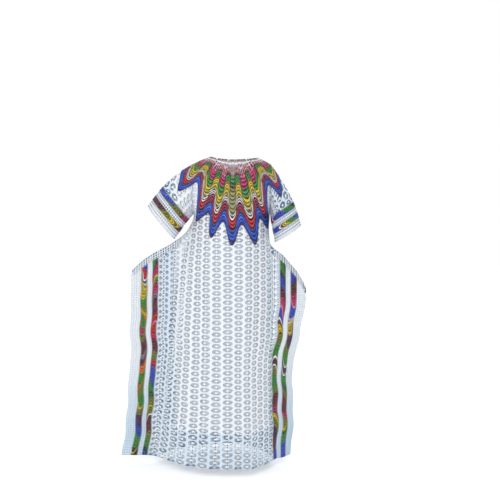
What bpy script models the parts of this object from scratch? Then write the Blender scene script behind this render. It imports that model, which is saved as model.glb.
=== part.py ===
"""A grand boubou in white eyelet lace, as it hangs when worn with both side wings held out.

The robe is built in metres, +Z up, with its front towards -Y and its back towards +Y. The wearer's left is
+X. The origin is where the wearer's shoulders carry it: level with the neckline's side points, in the middle
of the neck.

Each piece of cloth starts as a flat grid, is cut to its outline, is laid on the form that the hanging robe
takes, and gets its thickness. The form is one section curve for each height below the underarm, a rounded
cap over each shoulder, and an oval tube for each sleeve.
"""

import math

import bmesh
import bpy
import numpy as np
from mathutils import Vector
from mathutils.bvhtree import BVHTree

# Cloth
LACE = 0.0015  # thickness of the eyelet lace and of its borders
PRINT = 0.0010  # thickness of the printed cotton bands
YOKE = 0.0012  # thickness of the printed yoke
LINING = 0.0010
SEAM = 0.0003  # gap between pieces sewn edge to edge or laid on each other

# Heights
HEM = -1.340
LINING_HEM = -1.185
LINING_TOP = -0.190
UNDERARM = -0.250
SHOULDER_DROP = 0.034  # how far the shoulder tip lies below the neckline's side point
NECK_RISE = 0.012  # how far the shoulder line would rise above the neckline's sides at the centre

# Body and neckline
ARMHOLE_X = {"left": 0.176, "right": 0.156}  # from the middle to each armhole, as worn
ARMHOLE_DEPTH = 0.075  # how far the armhole reaches back and forward of the shoulder line
CAP = (-SHOULDER_DROP - UNDERARM) / 2  # height of the shoulder's rounded cap
CAP_FOOT = (UNDERARM - SHOULDER_DROP) / 2  # the armhole's widest level
NECK_X = 0.098
NECK_BACK = 0.092
NECK_FRONT = 0.125
BULGE_POWER = 2.6  # how flat the back is before the cloth turns towards the wing
WING_TURN = 1.7  # how late the wing turns towards its edge's own depth
LAYERS_APART = 0.0031  # between the middles of the back and front layers on the wings
RIPPLE = (0.008, 0.010, 0.205)  # the wings' outer edges wave this far across and in depth, at this pitch

# The border that runs down each side and round each sleeve, measured in from the edge
SIDE_BORDER = 0.121
SIDE_BANDS = {"outer": (0.044, 0.073), "inner": (0.094, 0.1202)}
SLEEVE_BORDER = 0.111
SLEEVE_BANDS = {"outer": (0.036, 0.062), "inner": (0.085, 0.1102)}
WING_LEAST = 0.036  # least width of a wing's lace between the body's columns and the border
OPENING_TRIM = 0.030  # the lace that edges the slanting side opening

# The worn robe at each height. back and front: depth of the two layers at the centre. bell: how far out
# the body's bulge ends, and round: how steeply. fold: how far back the wing is where the bulge ends.
# edge: how far out the outer edge is, and edge_y: how far back.
SECTION_COLUMNS = (
    "height", "back", "front", "round", "bell_left", "bell_right",
    "fold_left", "fold_right", "edge_left", "edge_right", "edge_y_left", "edge_y_right",
)
SECTIONS = (
    (0.000, 0.135, 0.135, 1.00, 0.176, 0.156, 0.000, 0.000, 0.176, 0.156, 0.000, 0.000),
    (-0.250, 0.138, 0.145, 1.00, 0.176, 0.156, 0.000, 0.000, 0.176, 0.156, 0.000, 0.000),  # underarm
    (-0.320, 0.139, 0.150, 1.02, 0.190, 0.153, 0.000, 0.000, 0.203, 0.153, 0.000, 0.000),
    (-0.385, 0.140, 0.154, 1.05, 0.205, 0.158, 0.000, -0.002, 0.284, 0.160, 0.000, -0.002),
    (-0.430, 0.142, 0.155, 1.10, 0.220, 0.165, 0.000, -0.003, 0.368, 0.210, 0.003, -0.005),
    (-0.482, 0.144, 0.154, 1.14, 0.236, 0.170, 0.000, -0.002, 0.436, 0.259, 0.006, -0.010),
    (-0.507, 0.146, 0.153, 1.16, 0.243, 0.172, 0.000, 0.000, 0.455, 0.280, 0.008, -0.012),  # left corner
    (-0.605, 0.150, 0.150, 1.20, 0.265, 0.177, 0.000, 0.006, 0.458, 0.322, 0.006, -0.020),  # right corner
    (-0.720, 0.154, 0.150, 1.22, 0.285, 0.178, 0.000, 0.014, 0.461, 0.308, 0.004, -0.030),
    (-0.860, 0.159, 0.152, 1.22, 0.305, 0.176, 0.000, 0.022, 0.466, 0.278, 0.002, -0.036),
    (-1.010, 0.165, 0.156, 1.22, 0.325, 0.174, 0.000, 0.028, 0.474, 0.262, 0.000, -0.038),
    (-1.160, 0.172, 0.161, 1.22, 0.345, 0.181, 0.000, 0.033, 0.486, 0.266, 0.000, -0.034),
    (-1.340, 0.182, 0.168, 1.22, 0.370, 0.203, 0.000, 0.038, 0.512, 0.256, 0.000, -0.025),  # hem
)
CORNER = {"left": -0.507, "right": -0.605}  # heights of the corners that the hands hold out

# Each sleeve's cuff: the corner over the arm and the one under it, across and up, and half its depth
CUFF_COLUMNS = ("over_x", "over_z", "under_x", "under_z", "half_depth", "centre_y")
CUFFS = {
    "left": (0.378, -0.218, 0.262, -0.362, 0.068, 0.004),
    "right": (0.292, -0.300, 0.178, -0.373, 0.080, 0.034),
}
SLEEVE_BULGE = 0.016  # how far the sleeve's top rounds out over the arm

# Where the pieces lie apart
CLEAR = 0.0005  # a piece laid on others clears them by this much and SEAM
YOKE_CLEAR = 0.0014
BINDING = 0.009  # width of the neck's binding

SIDES = {"left": 1, "right": -1}
LAYERS = {"back": 1, "front": -1}
COLOURS = {
    "lace": (0.90, 0.92, 0.95, 1),
    "lining": (0.93, 0.93, 0.95, 1),
    "print": (0.10, 0.20, 0.62, 1),
    "trim": (0.92, 0.93, 0.95, 1),
}

# The yoke's scalloped edge on the flat cloth of the back, from the left shoulder line to the right one:
# the angle from the left one and the distance from the shoulder line's middle. The front mirrors it.
YOKE_COLUMNS = ("angle", "radius")
YOKE_OUTLINE = (
    (0, 0.246), (12, 0.264), (21, 0.290), (27, 0.262), (33, 0.230), (40, 0.214), (48, 0.240), (55, 0.290),
    (60, 0.347), (66, 0.336), (72, 0.325), (74.5, 0.376), (76.6, 0.432), (80, 0.405), (84, 0.371),
    (86.3, 0.420), (89, 0.478), (92, 0.430), (94.7, 0.385), (98, 0.414), (102, 0.447), (106, 0.390),
    (110.5, 0.339), (113, 0.353), (116, 0.373), (122, 0.300), (130, 0.240), (140, 0.212), (150, 0.238),
    (160.5, 0.284), (170, 0.252), (180, 0.228),
)
YOKE_TIPS = (21, 60, 76.6, 89, 102, 116, 160.5)  # the angles of its rays' tips
TIP_TURN = 1.3  # half the width of a tip's blunt end, in degrees


def smooth_table(places, values, at):
    """The table's value at one place, on a smooth curve through its rows, level at each high and low."""
    places, values = np.asarray(places, float), np.asarray(values, float)
    order = np.argsort(places)
    places, values = places[order], values[order]
    steps = np.diff(places)
    rises = np.diff(values) / steps
    at = float(np.clip(at, places[0], places[-1]))
    row = min(int(np.searchsorted(places, at, side="right")) - 1, len(steps) - 1)

    def slope(k):
        if k == 0 or k == len(steps):
            return rises[min(k, len(steps) - 1)]
        before, after = rises[k - 1], rises[k]
        return 0.0 if before * after <= 0 else 2 * before * after / (before + after)

    t = (at - places[row]) / steps[row]
    return float(
        values[row] * (2 * t**3 - 3 * t**2 + 1)
        + slope(row) * steps[row] * (t**3 - 2 * t**2 + t)
        + values[row + 1] * (3 * t**2 - 2 * t**3)
        + slope(row + 1) * steps[row] * (t**3 - t**2)
    )


def section_value(column, height):
    at = SECTION_COLUMNS.index(column)
    return smooth_table([row[0] for row in SECTIONS], [row[at] for row in SECTIONS], height)


def eased(t):
    t = np.clip(t, 0.0, 1.0)
    return t * t * (3 - 2 * t)


def ridge(x, side):
    """Height of the shoulder line, which runs on across the neck."""
    return NECK_RISE - (NECK_RISE + SHOULDER_DROP) * (x / ARMHOLE_X[side]) ** 2


def armhole_reach(height):
    """How far back the armhole's edge is at this height, on its oval from underarm to shoulder tip."""
    share = min(1.0, abs(height - CAP_FOOT) / CAP)
    return ARMHOLE_DEPTH * math.sqrt(1 - share * share)


class Section:
    """One layer's line across the robe at one height, from the centre out to the edge of one side."""

    def __init__(self, side, layer, height):
        edge = section_value("edge_" + side, height)
        edge_y = section_value("edge_y_" + side, height)
        reach = 0.0
        below = eased((UNDERARM - 0.08 - height) / 0.25)
        across, deep, pitch = RIPPLE
        wave = 2 * math.pi * height / pitch + (0.0 if side == "left" else 1.9)
        edge += across * math.sin(wave) * below
        edge_y += deep * math.cos(wave) * below
        if height > UNDERARM:
            edge = ARMHOLE_X[side]
            reach = armhole_reach(height)
        bell = min(section_value("bell_" + side, height), edge)
        fold = section_value("fold_" + side, height)
        self.x = np.linspace(0, edge, 120)
        bulge = (1 - np.clip(self.x / bell, 0, 1) ** BULGE_POWER) ** section_value("round", height)
        outward = np.clip((self.x - bell) / max(edge - bell, 0.002), 0, 1) ** WING_TURN
        self.middle = fold * eased(self.x / bell) + (edge_y - fold) * outward
        depth = section_value(layer, height)
        apart = LAYERS_APART / 2 * np.hypot(1, np.gradient(self.middle, self.x))
        self.y = self.middle + LAYERS[layer] * (apart + reach + (depth - reach) * bulge)
        steps = np.hypot(np.diff(self.x), np.diff(self.y))
        self.arc = np.concatenate([[0], np.cumsum(steps)])
        self.width = float(self.arc[-1])


    def x_at(self, arc):
        return float(np.interp(arc, self.arc, self.x))

    def x_inward(self, distance):
        """How far out a place is that lies this far in from the outer edge."""
        return float(np.interp(self.width - distance, self.arc, self.x))

    def y_at(self, x):
        return float(np.interp(x, self.x, self.y))


_sections = {}


def section(side, layer, height):
    key = (side, layer, round(height, 5))
    if key not in _sections:
        _sections[key] = Section(*key)
    return _sections[key]


def body_x(side, x, height):
    """How far out the body's column is that starts from x under the armhole, the same on both layers. Where
    the robe is drawn in, the columns close up to leave room for the wing."""
    level = section(side, "back", UNDERARM)
    room = section(side, "back", min(height, CORNER[side])).width - SIDE_BORDER - WING_LEAST
    arc = float(np.interp(x, level.x, level.arc)) * min(1.0, room / level.width)
    return section(side, "back", height).x_at(arc)


def body_point(side, layer, x, height):
    return Vector((SIDES[side] * x, section(side, layer, height).y_at(x), height))


def cap_point(side, layer, x, turn):
    """A point on the shoulder's cap. turn is 0 on the shoulder line and a quarter turn where the cap ends."""
    foot = ridge(x, side) - CAP
    depth = section(side, layer, foot).y_at(x)
    return Vector((SIDES[side] * x, depth * math.sin(turn), foot + CAP * math.cos(turn)))


def neck_turn(side, layer, x):
    """The cap's turn at the neckline, or beside it at the shoulder seam."""
    depth = abs(section(side, layer, ridge(x, side) - CAP).y_at(x))
    reach = 0.0006
    if x < NECK_X:
        reach = max(reach, (NECK_BACK if layer == "back" else NECK_FRONT) * math.sqrt(1 - (x / NECK_X) ** 2))
    return math.asin(min(1.0, reach / depth))


def upper_point(side, layer, x, share):
    """A point between the underarm's level, at share 0, and the shoulder line or neckline, at share 1."""
    foot = ridge(x, side) - CAP
    depth = abs(section(side, layer, foot).y_at(x))
    straight = foot - UNDERARM
    top = neck_turn(side, layer, x)
    curved = (math.pi / 2 - top) * (CAP + depth) / 2
    along = share * (straight + curved)
    if along < straight:
        return body_point(side, layer, x, UNDERARM + along)
    return cap_point(side, layer, x, math.pi / 2 - (along - straight) / curved * (math.pi / 2 - top))


def wing_x(side, layer, place, height):
    """How far out a wing's column is. place runs from 0 under the armhole to 1 at the border's seam. A place
    below 0 is a distance in from the outer edge, which runs on straight above the held corner."""
    level = section(side, layer, min(height, CORNER[side]))
    if place < 0:
        return level.x_inward(-place)
    inner = body_x(side, ARMHOLE_X[side], height) if height < UNDERARM else ARMHOLE_X[side]
    return inner + place * (level.x_inward(SIDE_BORDER) - inner)


def wing_top(side, layer, place):
    """Height at which a wing's column meets the slanting opening."""
    low, high = CORNER[side], UNDERARM
    for _ in range(30):
        middle = (low + high) / 2
        if wing_x(side, layer, place, middle) > section(side, layer, middle).x[-1]:
            high = middle
        else:
            low = middle
    return low


def wing_point(side, layer, place, share, below_top=0.0):
    """A point on a wing, from the hem at share 0 to the slanting opening at share 1."""
    top = wing_top(side, layer, place) - below_top
    height = HEM + share * (top - HEM)
    x = min(wing_x(side, layer, place, height), float(section(side, layer, height).x[-1]))
    return body_point(side, layer, x, height)


def sleeve_ring(side, along):
    """A sleeve's oval at a share of its length: centre, the half that points up the arm's top, depth."""
    cuff = dict(zip(CUFF_COLUMNS, CUFFS[side]))
    sign = SIDES[side]
    start_top = Vector((sign * (ARMHOLE_X[side] + 0.0022), 0, -SHOULDER_DROP))
    start_low = Vector((sign * (ARMHOLE_X[side] + 0.0022), 0, UNDERARM))
    end_top = Vector((sign * cuff["over_x"], cuff["centre_y"], cuff["over_z"]))
    end_low = Vector((sign * cuff["under_x"], cuff["centre_y"], cuff["under_z"]))
    top, low = start_top.lerp(end_top, along), start_low.lerp(end_low, along)
    outward = Vector((end_top.z - start_top.z, 0, -(end_top.x - start_top.x))).normalized()
    if outward.z < 0:
        outward.negate()
    top += outward * SLEEVE_BULGE * math.sin(math.pi * along)
    depth = ARMHOLE_DEPTH + (cuff["half_depth"] - ARMHOLE_DEPTH) * eased(along)
    return (top + low) / 2, (top - low) / 2, float(depth)


def sleeve_point(side, along, turn):
    """A point on a sleeve. turn is 0 over the arm, positive round the back and half a turn under the arm."""
    centre, up, depth = sleeve_ring(side, along)
    return centre + up * math.cos(turn) + Vector((0, depth * math.sin(turn), 0))


def sleeve_length(side, turn):
    """The sleeve's length along the arm's top, back or underside."""
    points = [sleeve_point(side, k / 8, turn) for k in range(9)]
    return sum((b - a).length for a, b in zip(points, points[1:]))


def sleeve_border_point(side, from_cuff, turn):
    """A point on the sleeve this far in from its cuff."""
    return sleeve_point(side, 1 - from_cuff / sleeve_length(side, turn), turn)


def oval_turns(depth, count=60):
    """Turns round an oval of the cap's height and this depth, and how far along it each one is."""
    turns = np.linspace(0, math.pi, count)
    points = np.stack([CAP * np.cos(turns), depth * np.sin(turns)], axis=1)
    steps = np.linalg.norm(np.diff(points, axis=0), axis=1)
    return turns, np.concatenate([[0], np.cumsum(steps)])


def flat_point(across, down):
    """Where a point of the flat cloth round the neck comes to lie. across is from the middle of the shoulder
    line to the left, and down is from the shoulder line, positive at the back and negative in front."""
    side = "left" if across >= 0 else "right"
    layer = "back" if down >= 0 else "front"
    across, down = abs(across), abs(down)
    level = section(side, layer, CAP_FOOT)
    if across > level.width:
        turns, arcs = oval_turns(ARMHOLE_DEPTH)
        turn = float(np.interp(down, arcs, turns)) * LAYERS[layer]
        return sleeve_point(side, min(1.0, (across - level.width) / sleeve_length(side, turn)), turn)
    x = level.x_at(across)
    foot = ridge(x, side) - CAP
    turns, arcs = oval_turns(abs(section(side, layer, foot).y_at(x)))
    quarter = float(np.interp(math.pi / 2, turns, arcs))
    if down <= quarter:
        return cap_point(side, layer, x, float(np.interp(down, arcs, turns)))
    height = foot - (down - quarter)
    if height < UNDERARM:
        x = body_x(side, x, height)
    return body_point(side, layer, x, height)


def material(name, colour):
    """A plain cloth material."""
    found = bpy.data.materials.get(name)
    if found:
        return found
    made = bpy.data.materials.new(name)
    made.use_nodes = True
    shader = made.node_tree.nodes["Principled BSDF"]
    shader.inputs["Base Color"].default_value = colour
    shader.inputs["Roughness"].default_value = 0.85
    shader.inputs["Metallic"].default_value = 0.0
    return made


def cloth(
    name, columns, rows, point_of, thickness, finish,
    keep=None, ring=False, over=(), outward=None, clear=CLEAR,
):
    """One cut of cloth: a flat grid with a line for each column and row, laid where point_of says. keep says
    which cells are cloth. A ring's first and last columns meet. A cloth that lies over others is moved out,
    the way that outward says for a point, until each facet clears them."""
    mesh = bmesh.new()
    bmesh.ops.create_grid(mesh, x_segments=len(columns) - 1, y_segments=len(rows) - 1, size=0.5)
    cells = {}
    for vertex in mesh.verts:
        column = round((vertex.co.x + 0.5) * (len(columns) - 1))
        row = round((vertex.co.y + 0.5) * (len(rows) - 1))
        cells[vertex] = (column, row)
    if keep:
        cut = [f for f in mesh.faces if not keep(*(min(cells[v][k] for v in f.verts) for k in (0, 1)))]
        bmesh.ops.delete(mesh, geom=cut, context="FACES")
    for vertex in mesh.verts:
        column, row = cells[vertex]
        vertex.co = point_of(columns[column], rows[row])
    if ring:
        bmesh.ops.remove_doubles(mesh, verts=mesh.verts, dist=1e-5)
    bmesh.ops.recalc_face_normals(mesh, faces=mesh.faces)
    if over:
        lay_over(mesh, over, outward, thickness, clear)
    data = bpy.data.meshes.new(name)
    mesh.to_mesh(data)
    mesh.free()
    data.shade_smooth()
    data.materials.append(material(finish, COLOURS[finish]))
    piece = bpy.data.objects.new(name, data)
    bpy.data.collections["grand_boubou"].objects.link(piece)
    wall = piece.modifiers.new("thickness", "SOLIDIFY")
    wall.thickness = thickness
    wall.offset = 0
    wall.use_even_offset = False
    return piece


def lay_over(mesh, under, outward, thickness, clear):
    """Moves a cloth's vertices outward until samples of its facets clear the pieces under it."""
    bpy.context.view_layer.update()
    graph = bpy.context.evaluated_depsgraph_get()
    trees = [BVHTree.FromObject(piece, graph) for piece in under]
    clearance = thickness / 2 + SEAM + clear
    reach = 0.014
    steps = (0.0, 0.2, 0.4, 0.6, 0.8, 1.0)
    for _ in range(8):
        mesh.normal_update()
        normals = {}
        for vertex in mesh.verts:
            way = outward(vertex.co)
            normals[vertex] = vertex.normal * (1 if vertex.normal.dot(way) > 0 else -1)
        needs = dict.fromkeys(mesh.verts, 0.0)
        for face in mesh.faces:
            corners = face.verts
            way = sum((normals[v] for v in corners), Vector()).normalized()
            need = 0.0
            points = [corners[k].co.lerp(corners[k + 2].co, s) for k in (0, 1) for s in steps]
            for s in steps:
                side_a = corners[0].co.lerp(corners[1].co, s)
                side_b = corners[3].co.lerp(corners[2].co, s)
                points += [side_a.lerp(side_b, t) for t in steps]
            for point in points:
                for tree in trees:
                    hit = tree.ray_cast(point + way * reach, -way, reach * 2)
                    if hit[0] is not None:
                        need = max(need, reach - hit[3] + clearance)
            for vertex in corners:
                needs[vertex] = max(needs[vertex], need)
        for vertex, need in needs.items():
            vertex.co += normals[vertex] * need
        if max(needs.values()) < 0.0001:
            break


def make_panel(layer):
    """The back or front of eyelet lace: body and wings in to the borders' seams, with armholes and neck."""
    half = [0.036, 0.068, 0.088, 0.0975, 0.116, 0.142]
    shares = [h / ARMHOLE_X["left"] for h in half] + [1.0]
    body = [-s for s in reversed(shares)] + [0.0, *shares]
    left_wing, right_wing = [0.15, 0.4, 0.7, 1.0], [0.15, 0.5, 1.0]
    columns = [("right", w) for w in reversed(right_wing)] + [("body", b) for b in body]
    columns += [("left", w) for w in left_wing]
    lower = 13
    upper = 7
    rows = [r / lower for r in range(lower)] + [1 + r / upper for r in range(upper + 1)]
    first, last = len(right_wing), len(right_wing) + len(body) - 2

    def place(column, row):
        part, share = column
        if part != "body":
            return wing_point(part, layer, share, min(row, 1.0))
        side = "left" if share >= 0 else "right"
        # The neck's columns stay where they are on the narrower side too.
        x = abs(share) * ARMHOLE_X["left"]
        if side == "right" and x > NECK_X:
            x = NECK_X + (x - NECK_X) * (ARMHOLE_X["right"] - NECK_X) / (ARMHOLE_X["left"] - NECK_X)
        if row > 1:
            return upper_point(side, layer, x, row - 1)
        height = HEM + row * (UNDERARM - HEM)
        return body_point(side, layer, body_x(side, x, height), height)

    return cloth(
        layer + "_panel", columns, rows, place, LACE, "lace",
        keep=lambda column, row: row < lower or first <= column <= last,
    )


def away(layer):
    """The way out of a layer: back or forward."""
    return lambda point: Vector((0, LAYERS[layer], 0))


def make_border(layer, side):
    """The side border of fine grid lace, its two printed bands, and the lace along the slanting opening."""
    outer, inner = SIDE_BANDS["outer"], SIDE_BANDS["inner"]
    inwards = [1e-6, *outer, *inner]
    rows = [r / 13 for r in range(14)]
    under = [bpy.data.objects[layer + "_panel"]]
    under.append(cloth(
        f"{layer}_{side}_border", inwards, rows,
        lambda inward, share: wing_point(side, layer, -inward, share), LACE, "trim",
    ))
    for name, lines in SIDE_BANDS.items():
        under.append(cloth(
            f"{layer}_{side}_band_{name}", list(lines), rows,
            lambda inward, share: wing_point(side, layer, -inward, share), PRINT, "print",
            over=under[:2], outward=away(layer),
        ))
    start = {"left": 0.36, "right": 0.30}[side]
    columns = [start, 0.7, 1.0, -inner[0], -outer[1], -outer[0], -0.012]
    cloth(
        f"{layer}_{side}_opening_trim", columns, [0.001, OPENING_TRIM],
        lambda column, below: wing_point(side, layer, column, 1.0, below_top=below),
        LACE, "trim", over=under, outward=away(layer),
    )


def make_sleeve(side):
    """A short sleeve of eyelet lace, its lace border and the border's two printed bands, all tubes."""
    around = 16
    turns = [2 * math.pi * k / around for k in range(around + 1)]
    lengths = {turn: sleeve_length(side, turn) for turn in turns}

    def sleeve_place(turn, share):
        return sleeve_point(side, share * (1 - SLEEVE_BORDER / lengths[turn]), turn)

    def border_place(turn, from_cuff):
        return sleeve_point(side, 1 - from_cuff / lengths[turn], turn)

    cloth(f"{side}_sleeve", turns, [0, 0.4, 1.0], sleeve_place, LACE, "lace", ring=True)
    gap = (SLEEVE_BANDS["outer"][1] + SLEEVE_BANDS["inner"][0]) / 2
    lines = [0.0, SLEEVE_BANDS["outer"][0], gap, SLEEVE_BORDER - 0.0008]
    border = cloth(f"{side}_sleeve_border", turns, lines, border_place, LACE, "trim", ring=True)

    def outward(point):
        centre, up, _ = sleeve_ring(side, 0.5)
        arm = up.cross(Vector((0, 1, 0)))
        away_from = point - centre
        return away_from - arm * (away_from.dot(arm) / arm.length_squared)

    for name, band in SLEEVE_BANDS.items():
        cloth(
            f"{side}_sleeve_band_{name}", turns, list(band), border_place, PRINT, "print", ring=True,
            over=[border], outward=outward,
        )


def neckline_radius(angle):
    """How far the neckline is from the shoulder line's middle on the flat cloth, at this angle."""
    low, high = 0.0, 0.20
    for _ in range(24):
        radius = (low + high) / 2
        point = flat_point(radius * math.cos(angle), radius * math.sin(angle))
        reach = NECK_BACK if math.sin(angle) >= 0 else NECK_FRONT
        inside = (point.x / NECK_X) ** 2 + (point.y / reach) ** 2 < 1
        low, high = (radius, high) if inside else (low, radius)
    return (low + high) / 2


def yoke_radius(angle):
    """Radius of the yoke's scalloped edge at an angle in degrees."""
    return smooth_table([a for a, _ in YOKE_OUTLINE], [r for _, r in YOKE_OUTLINE], angle)


def yoke_turns():
    """The angles of the yoke's lines all round, each with the radius of its scalloped edge there."""
    back = [angle for angle, _ in YOKE_OUTLINE if angle not in YOKE_TIPS]
    back += [tip + turn for tip in YOKE_TIPS for turn in (-TIP_TURN, TIP_TURN)]
    back.sort()
    turns = [(angle, yoke_radius(angle)) for angle in back]
    turns += [(360 - angle, radius) for angle, radius in reversed(turns[:-1])]
    return [(math.radians(angle), radius) for angle, radius in turns]


def make_yoke():
    """The printed sunburst yoke, one round cut with a scalloped edge laid on the lace over both shoulders,
    and the narrow binding between it and the neckline."""
    under = [bpy.data.objects[name] for name in ("back_panel", "front_panel", "left_sleeve", "right_sleeve")]
    turns = yoke_turns()
    inner = {angle: neckline_radius(angle) + 0.002 for angle, _ in turns}

    def yoke_place(turn, share):
        angle, radius = turn
        start = inner[angle] + BINDING
        reach = start + share * (radius - start)
        return flat_point(reach * math.cos(angle), reach * math.sin(angle))

    def outward(point):
        return point - Vector((0, 0, -0.25))

    cloth(
        "yoke", turns, [0, 0.12, 0.25, 0.4, 0.58, 0.78, 1.0], yoke_place, YOKE, "print",
        ring=True, over=under, outward=outward, clear=YOKE_CLEAR,
    )

    def binding_place(turn, from_neck):
        reach = inner[turn[0]] + from_neck
        return flat_point(reach * math.cos(turn[0]), reach * math.sin(turn[0]))

    cloth(
        "neck_binding", turns[::2], [0, BINDING - 0.001], binding_place, YOKE, "print",
        ring=True, over=under, outward=outward, clear=YOKE_CLEAR,
    )


def make_lining(layer):
    """The plain lining that shows through the lace: a straight slip from under the yoke to above the hem."""
    clear = 0.011
    reach = {"left": (0.146, 0.188, 0.285), "right": (0.132, 0.144, 0.162)}
    levels = (LINING_TOP, -0.42, LINING_HEM)

    def place(share, height):
        side = "left" if share >= 0 else "right"
        edge = float(np.interp(-height, [-z for z in levels], reach[side]))
        x = abs(share) * edge
        level = section(side, layer, height)
        middle = float(np.interp(x, level.x, level.middle))
        end = float(np.interp(edge, level.x, level.middle))
        middle = middle + (end - middle) * abs(share) ** 3
        depth = (abs(level.y_at(x) - middle) - clear) * math.sqrt(max(0.0, 1 - abs(share) ** 6))
        return Vector((SIDES[side] * x, middle + LAYERS[layer] * max(depth, 0.0012), height))

    columns = [-1, -0.93, -0.75, -0.4, 0, 0.4, 0.75, 0.93, 1]
    rows = [LINING_HEM + (LINING_TOP - LINING_HEM) * k / 7 for k in range(8)]
    cloth(f"{layer}_lining", columns, rows, place, LINING, "lining")


def main():
    for obj in list(bpy.data.objects):
        bpy.data.objects.remove(obj, do_unlink=True)
    robe = bpy.data.collections.new("grand_boubou")
    bpy.context.scene.collection.children.link(robe)
    for layer in LAYERS:
        make_panel(layer)
        make_lining(layer)
        for side in SIDES:
            make_border(layer, side)
    for side in SIDES:
        make_sleeve(side)
    make_yoke()


main()
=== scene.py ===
import math
from bisect import bisect_right

import bmesh
import bpy
import numpy as np
from bpy.props import FloatProperty, FloatVectorProperty, PointerProperty
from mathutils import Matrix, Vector


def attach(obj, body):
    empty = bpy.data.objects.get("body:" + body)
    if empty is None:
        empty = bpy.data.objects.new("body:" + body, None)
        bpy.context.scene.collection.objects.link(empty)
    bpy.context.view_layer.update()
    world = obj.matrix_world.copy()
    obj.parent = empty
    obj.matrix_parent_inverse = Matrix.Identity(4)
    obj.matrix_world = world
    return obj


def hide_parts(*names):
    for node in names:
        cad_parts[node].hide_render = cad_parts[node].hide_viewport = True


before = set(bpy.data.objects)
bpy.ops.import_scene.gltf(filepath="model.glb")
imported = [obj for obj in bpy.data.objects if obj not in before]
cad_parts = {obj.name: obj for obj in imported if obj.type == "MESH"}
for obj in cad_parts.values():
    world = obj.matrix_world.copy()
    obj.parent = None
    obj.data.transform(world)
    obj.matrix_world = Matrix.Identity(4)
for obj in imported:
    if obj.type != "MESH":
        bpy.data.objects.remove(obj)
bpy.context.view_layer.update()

bl_info = {
    "name": "Grand boubou",
    "version": (1, 0, 0),
    "blender": (4, 5, 0),
    "location": "View3D > Sidebar > Boubou",
    "description": "Dresses a worn grand boubou in eyelet lace, with a sunburst print yoke and printed bands",
    "category": "Object",
}

SIDES = {"left": 1, "right": -1}
LAYERS = {"back": 1, "front": -1}

# The form that the worn robe hangs in, in metres. It starts from the solids' form. The folds, the right side,
# the side edges and the yoke's tips have been changed since, and lie up to 2 cm from the solids.
HEM = -1.340
LINING_HEM = -1.185
LINING_TOP = -0.190
LINING_REACH = {"left": (0.146, 0.188, 0.285), "right": (0.132, 0.144, 0.162)}
UNDERARM = -0.250
SHOULDER_DROP = 0.034
NECK_RISE = 0.012
ARMHOLE_X = {"left": 0.176, "right": 0.156}
ARMHOLE_DEPTH = 0.075
CAP = (-SHOULDER_DROP - UNDERARM) / 2
CAP_FOOT = (UNDERARM - SHOULDER_DROP) / 2
NECK_X = 0.098
NECK_REACH = {"back": 0.092, "front": 0.125}
BULGE_POWER = 2.6
WING_TURN = 1.7
LAYERS_APART = 0.0031
# Small waves in the wings' edges: how far sideways, how far in depth, the height of one wave, and its start
RIPPLES = ((0.0022, 0.0040, 0.205, 0.0), (0.0018, 0.0035, 0.131, 0.9), (0.0020, 0.0030, 0.338, 2.2))
SIDE_BORDER = 0.121
SIDE_BANDS = {"outer": (0.044, 0.073), "inner": (0.094, 0.1202)}
SLEEVE_BORDER = 0.111
SLEEVE_BANDS = {"outer": (0.036, 0.062), "inner": (0.085, 0.1102)}
OPENING_TRIM = 0.030
SLEEVE_START = 0.0022
SLEEVE_BULGE = 0.016
BINDING = 0.009
NECK_MEAN_RADIUS = 0.105
TRIM_START, TRIM_CORNER_GAP = {"left": 0.232, "right": 0.176}, 0.010
YOKE_STEP, YOKE_ROWS = 0.0075, 30
YOKE_MIDDLE = Vector((0, 0, -0.25))  # the yoke's cloth faces away from this point
YOKE_LOWEST = -0.50
NECK_CLEAR = 0.002
UNDER_YOKE = {"panel": 0.024, "sleeve": 0.020}  # how far inside the yoke's edge the lace is left plain
EDGE = 0.0005  # nearer than this to a line counts as on it
SCALLOPS = {"side": 0.0028, "cuff": 0.0025}  # how far in every other hole of an outer edge is drawn
SLEEVE_CELLS, SLEEVE_BAND_STEPS, SLEEVE_BAND_ROWS = 12, 72, 5
SIDE_BAND_COLUMNS, SIDE_BAND_ROWS = 6, 110
LINING_COLUMNS, LINING_ROWS, LINING_BEND, LINING_DEPTH = 72, 64, -0.42, 0.0012
# Where the small waves set in below the underarm, how far they take to grow, and the right side's lag
RIPPLE_START, RIPPLE_GROWTH, RIPPLE_RIGHT = 0.08, 0.25, 1.9
SECTION_POINTS = 220
CORNER = {"left": -0.507, "right": -0.605}

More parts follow.
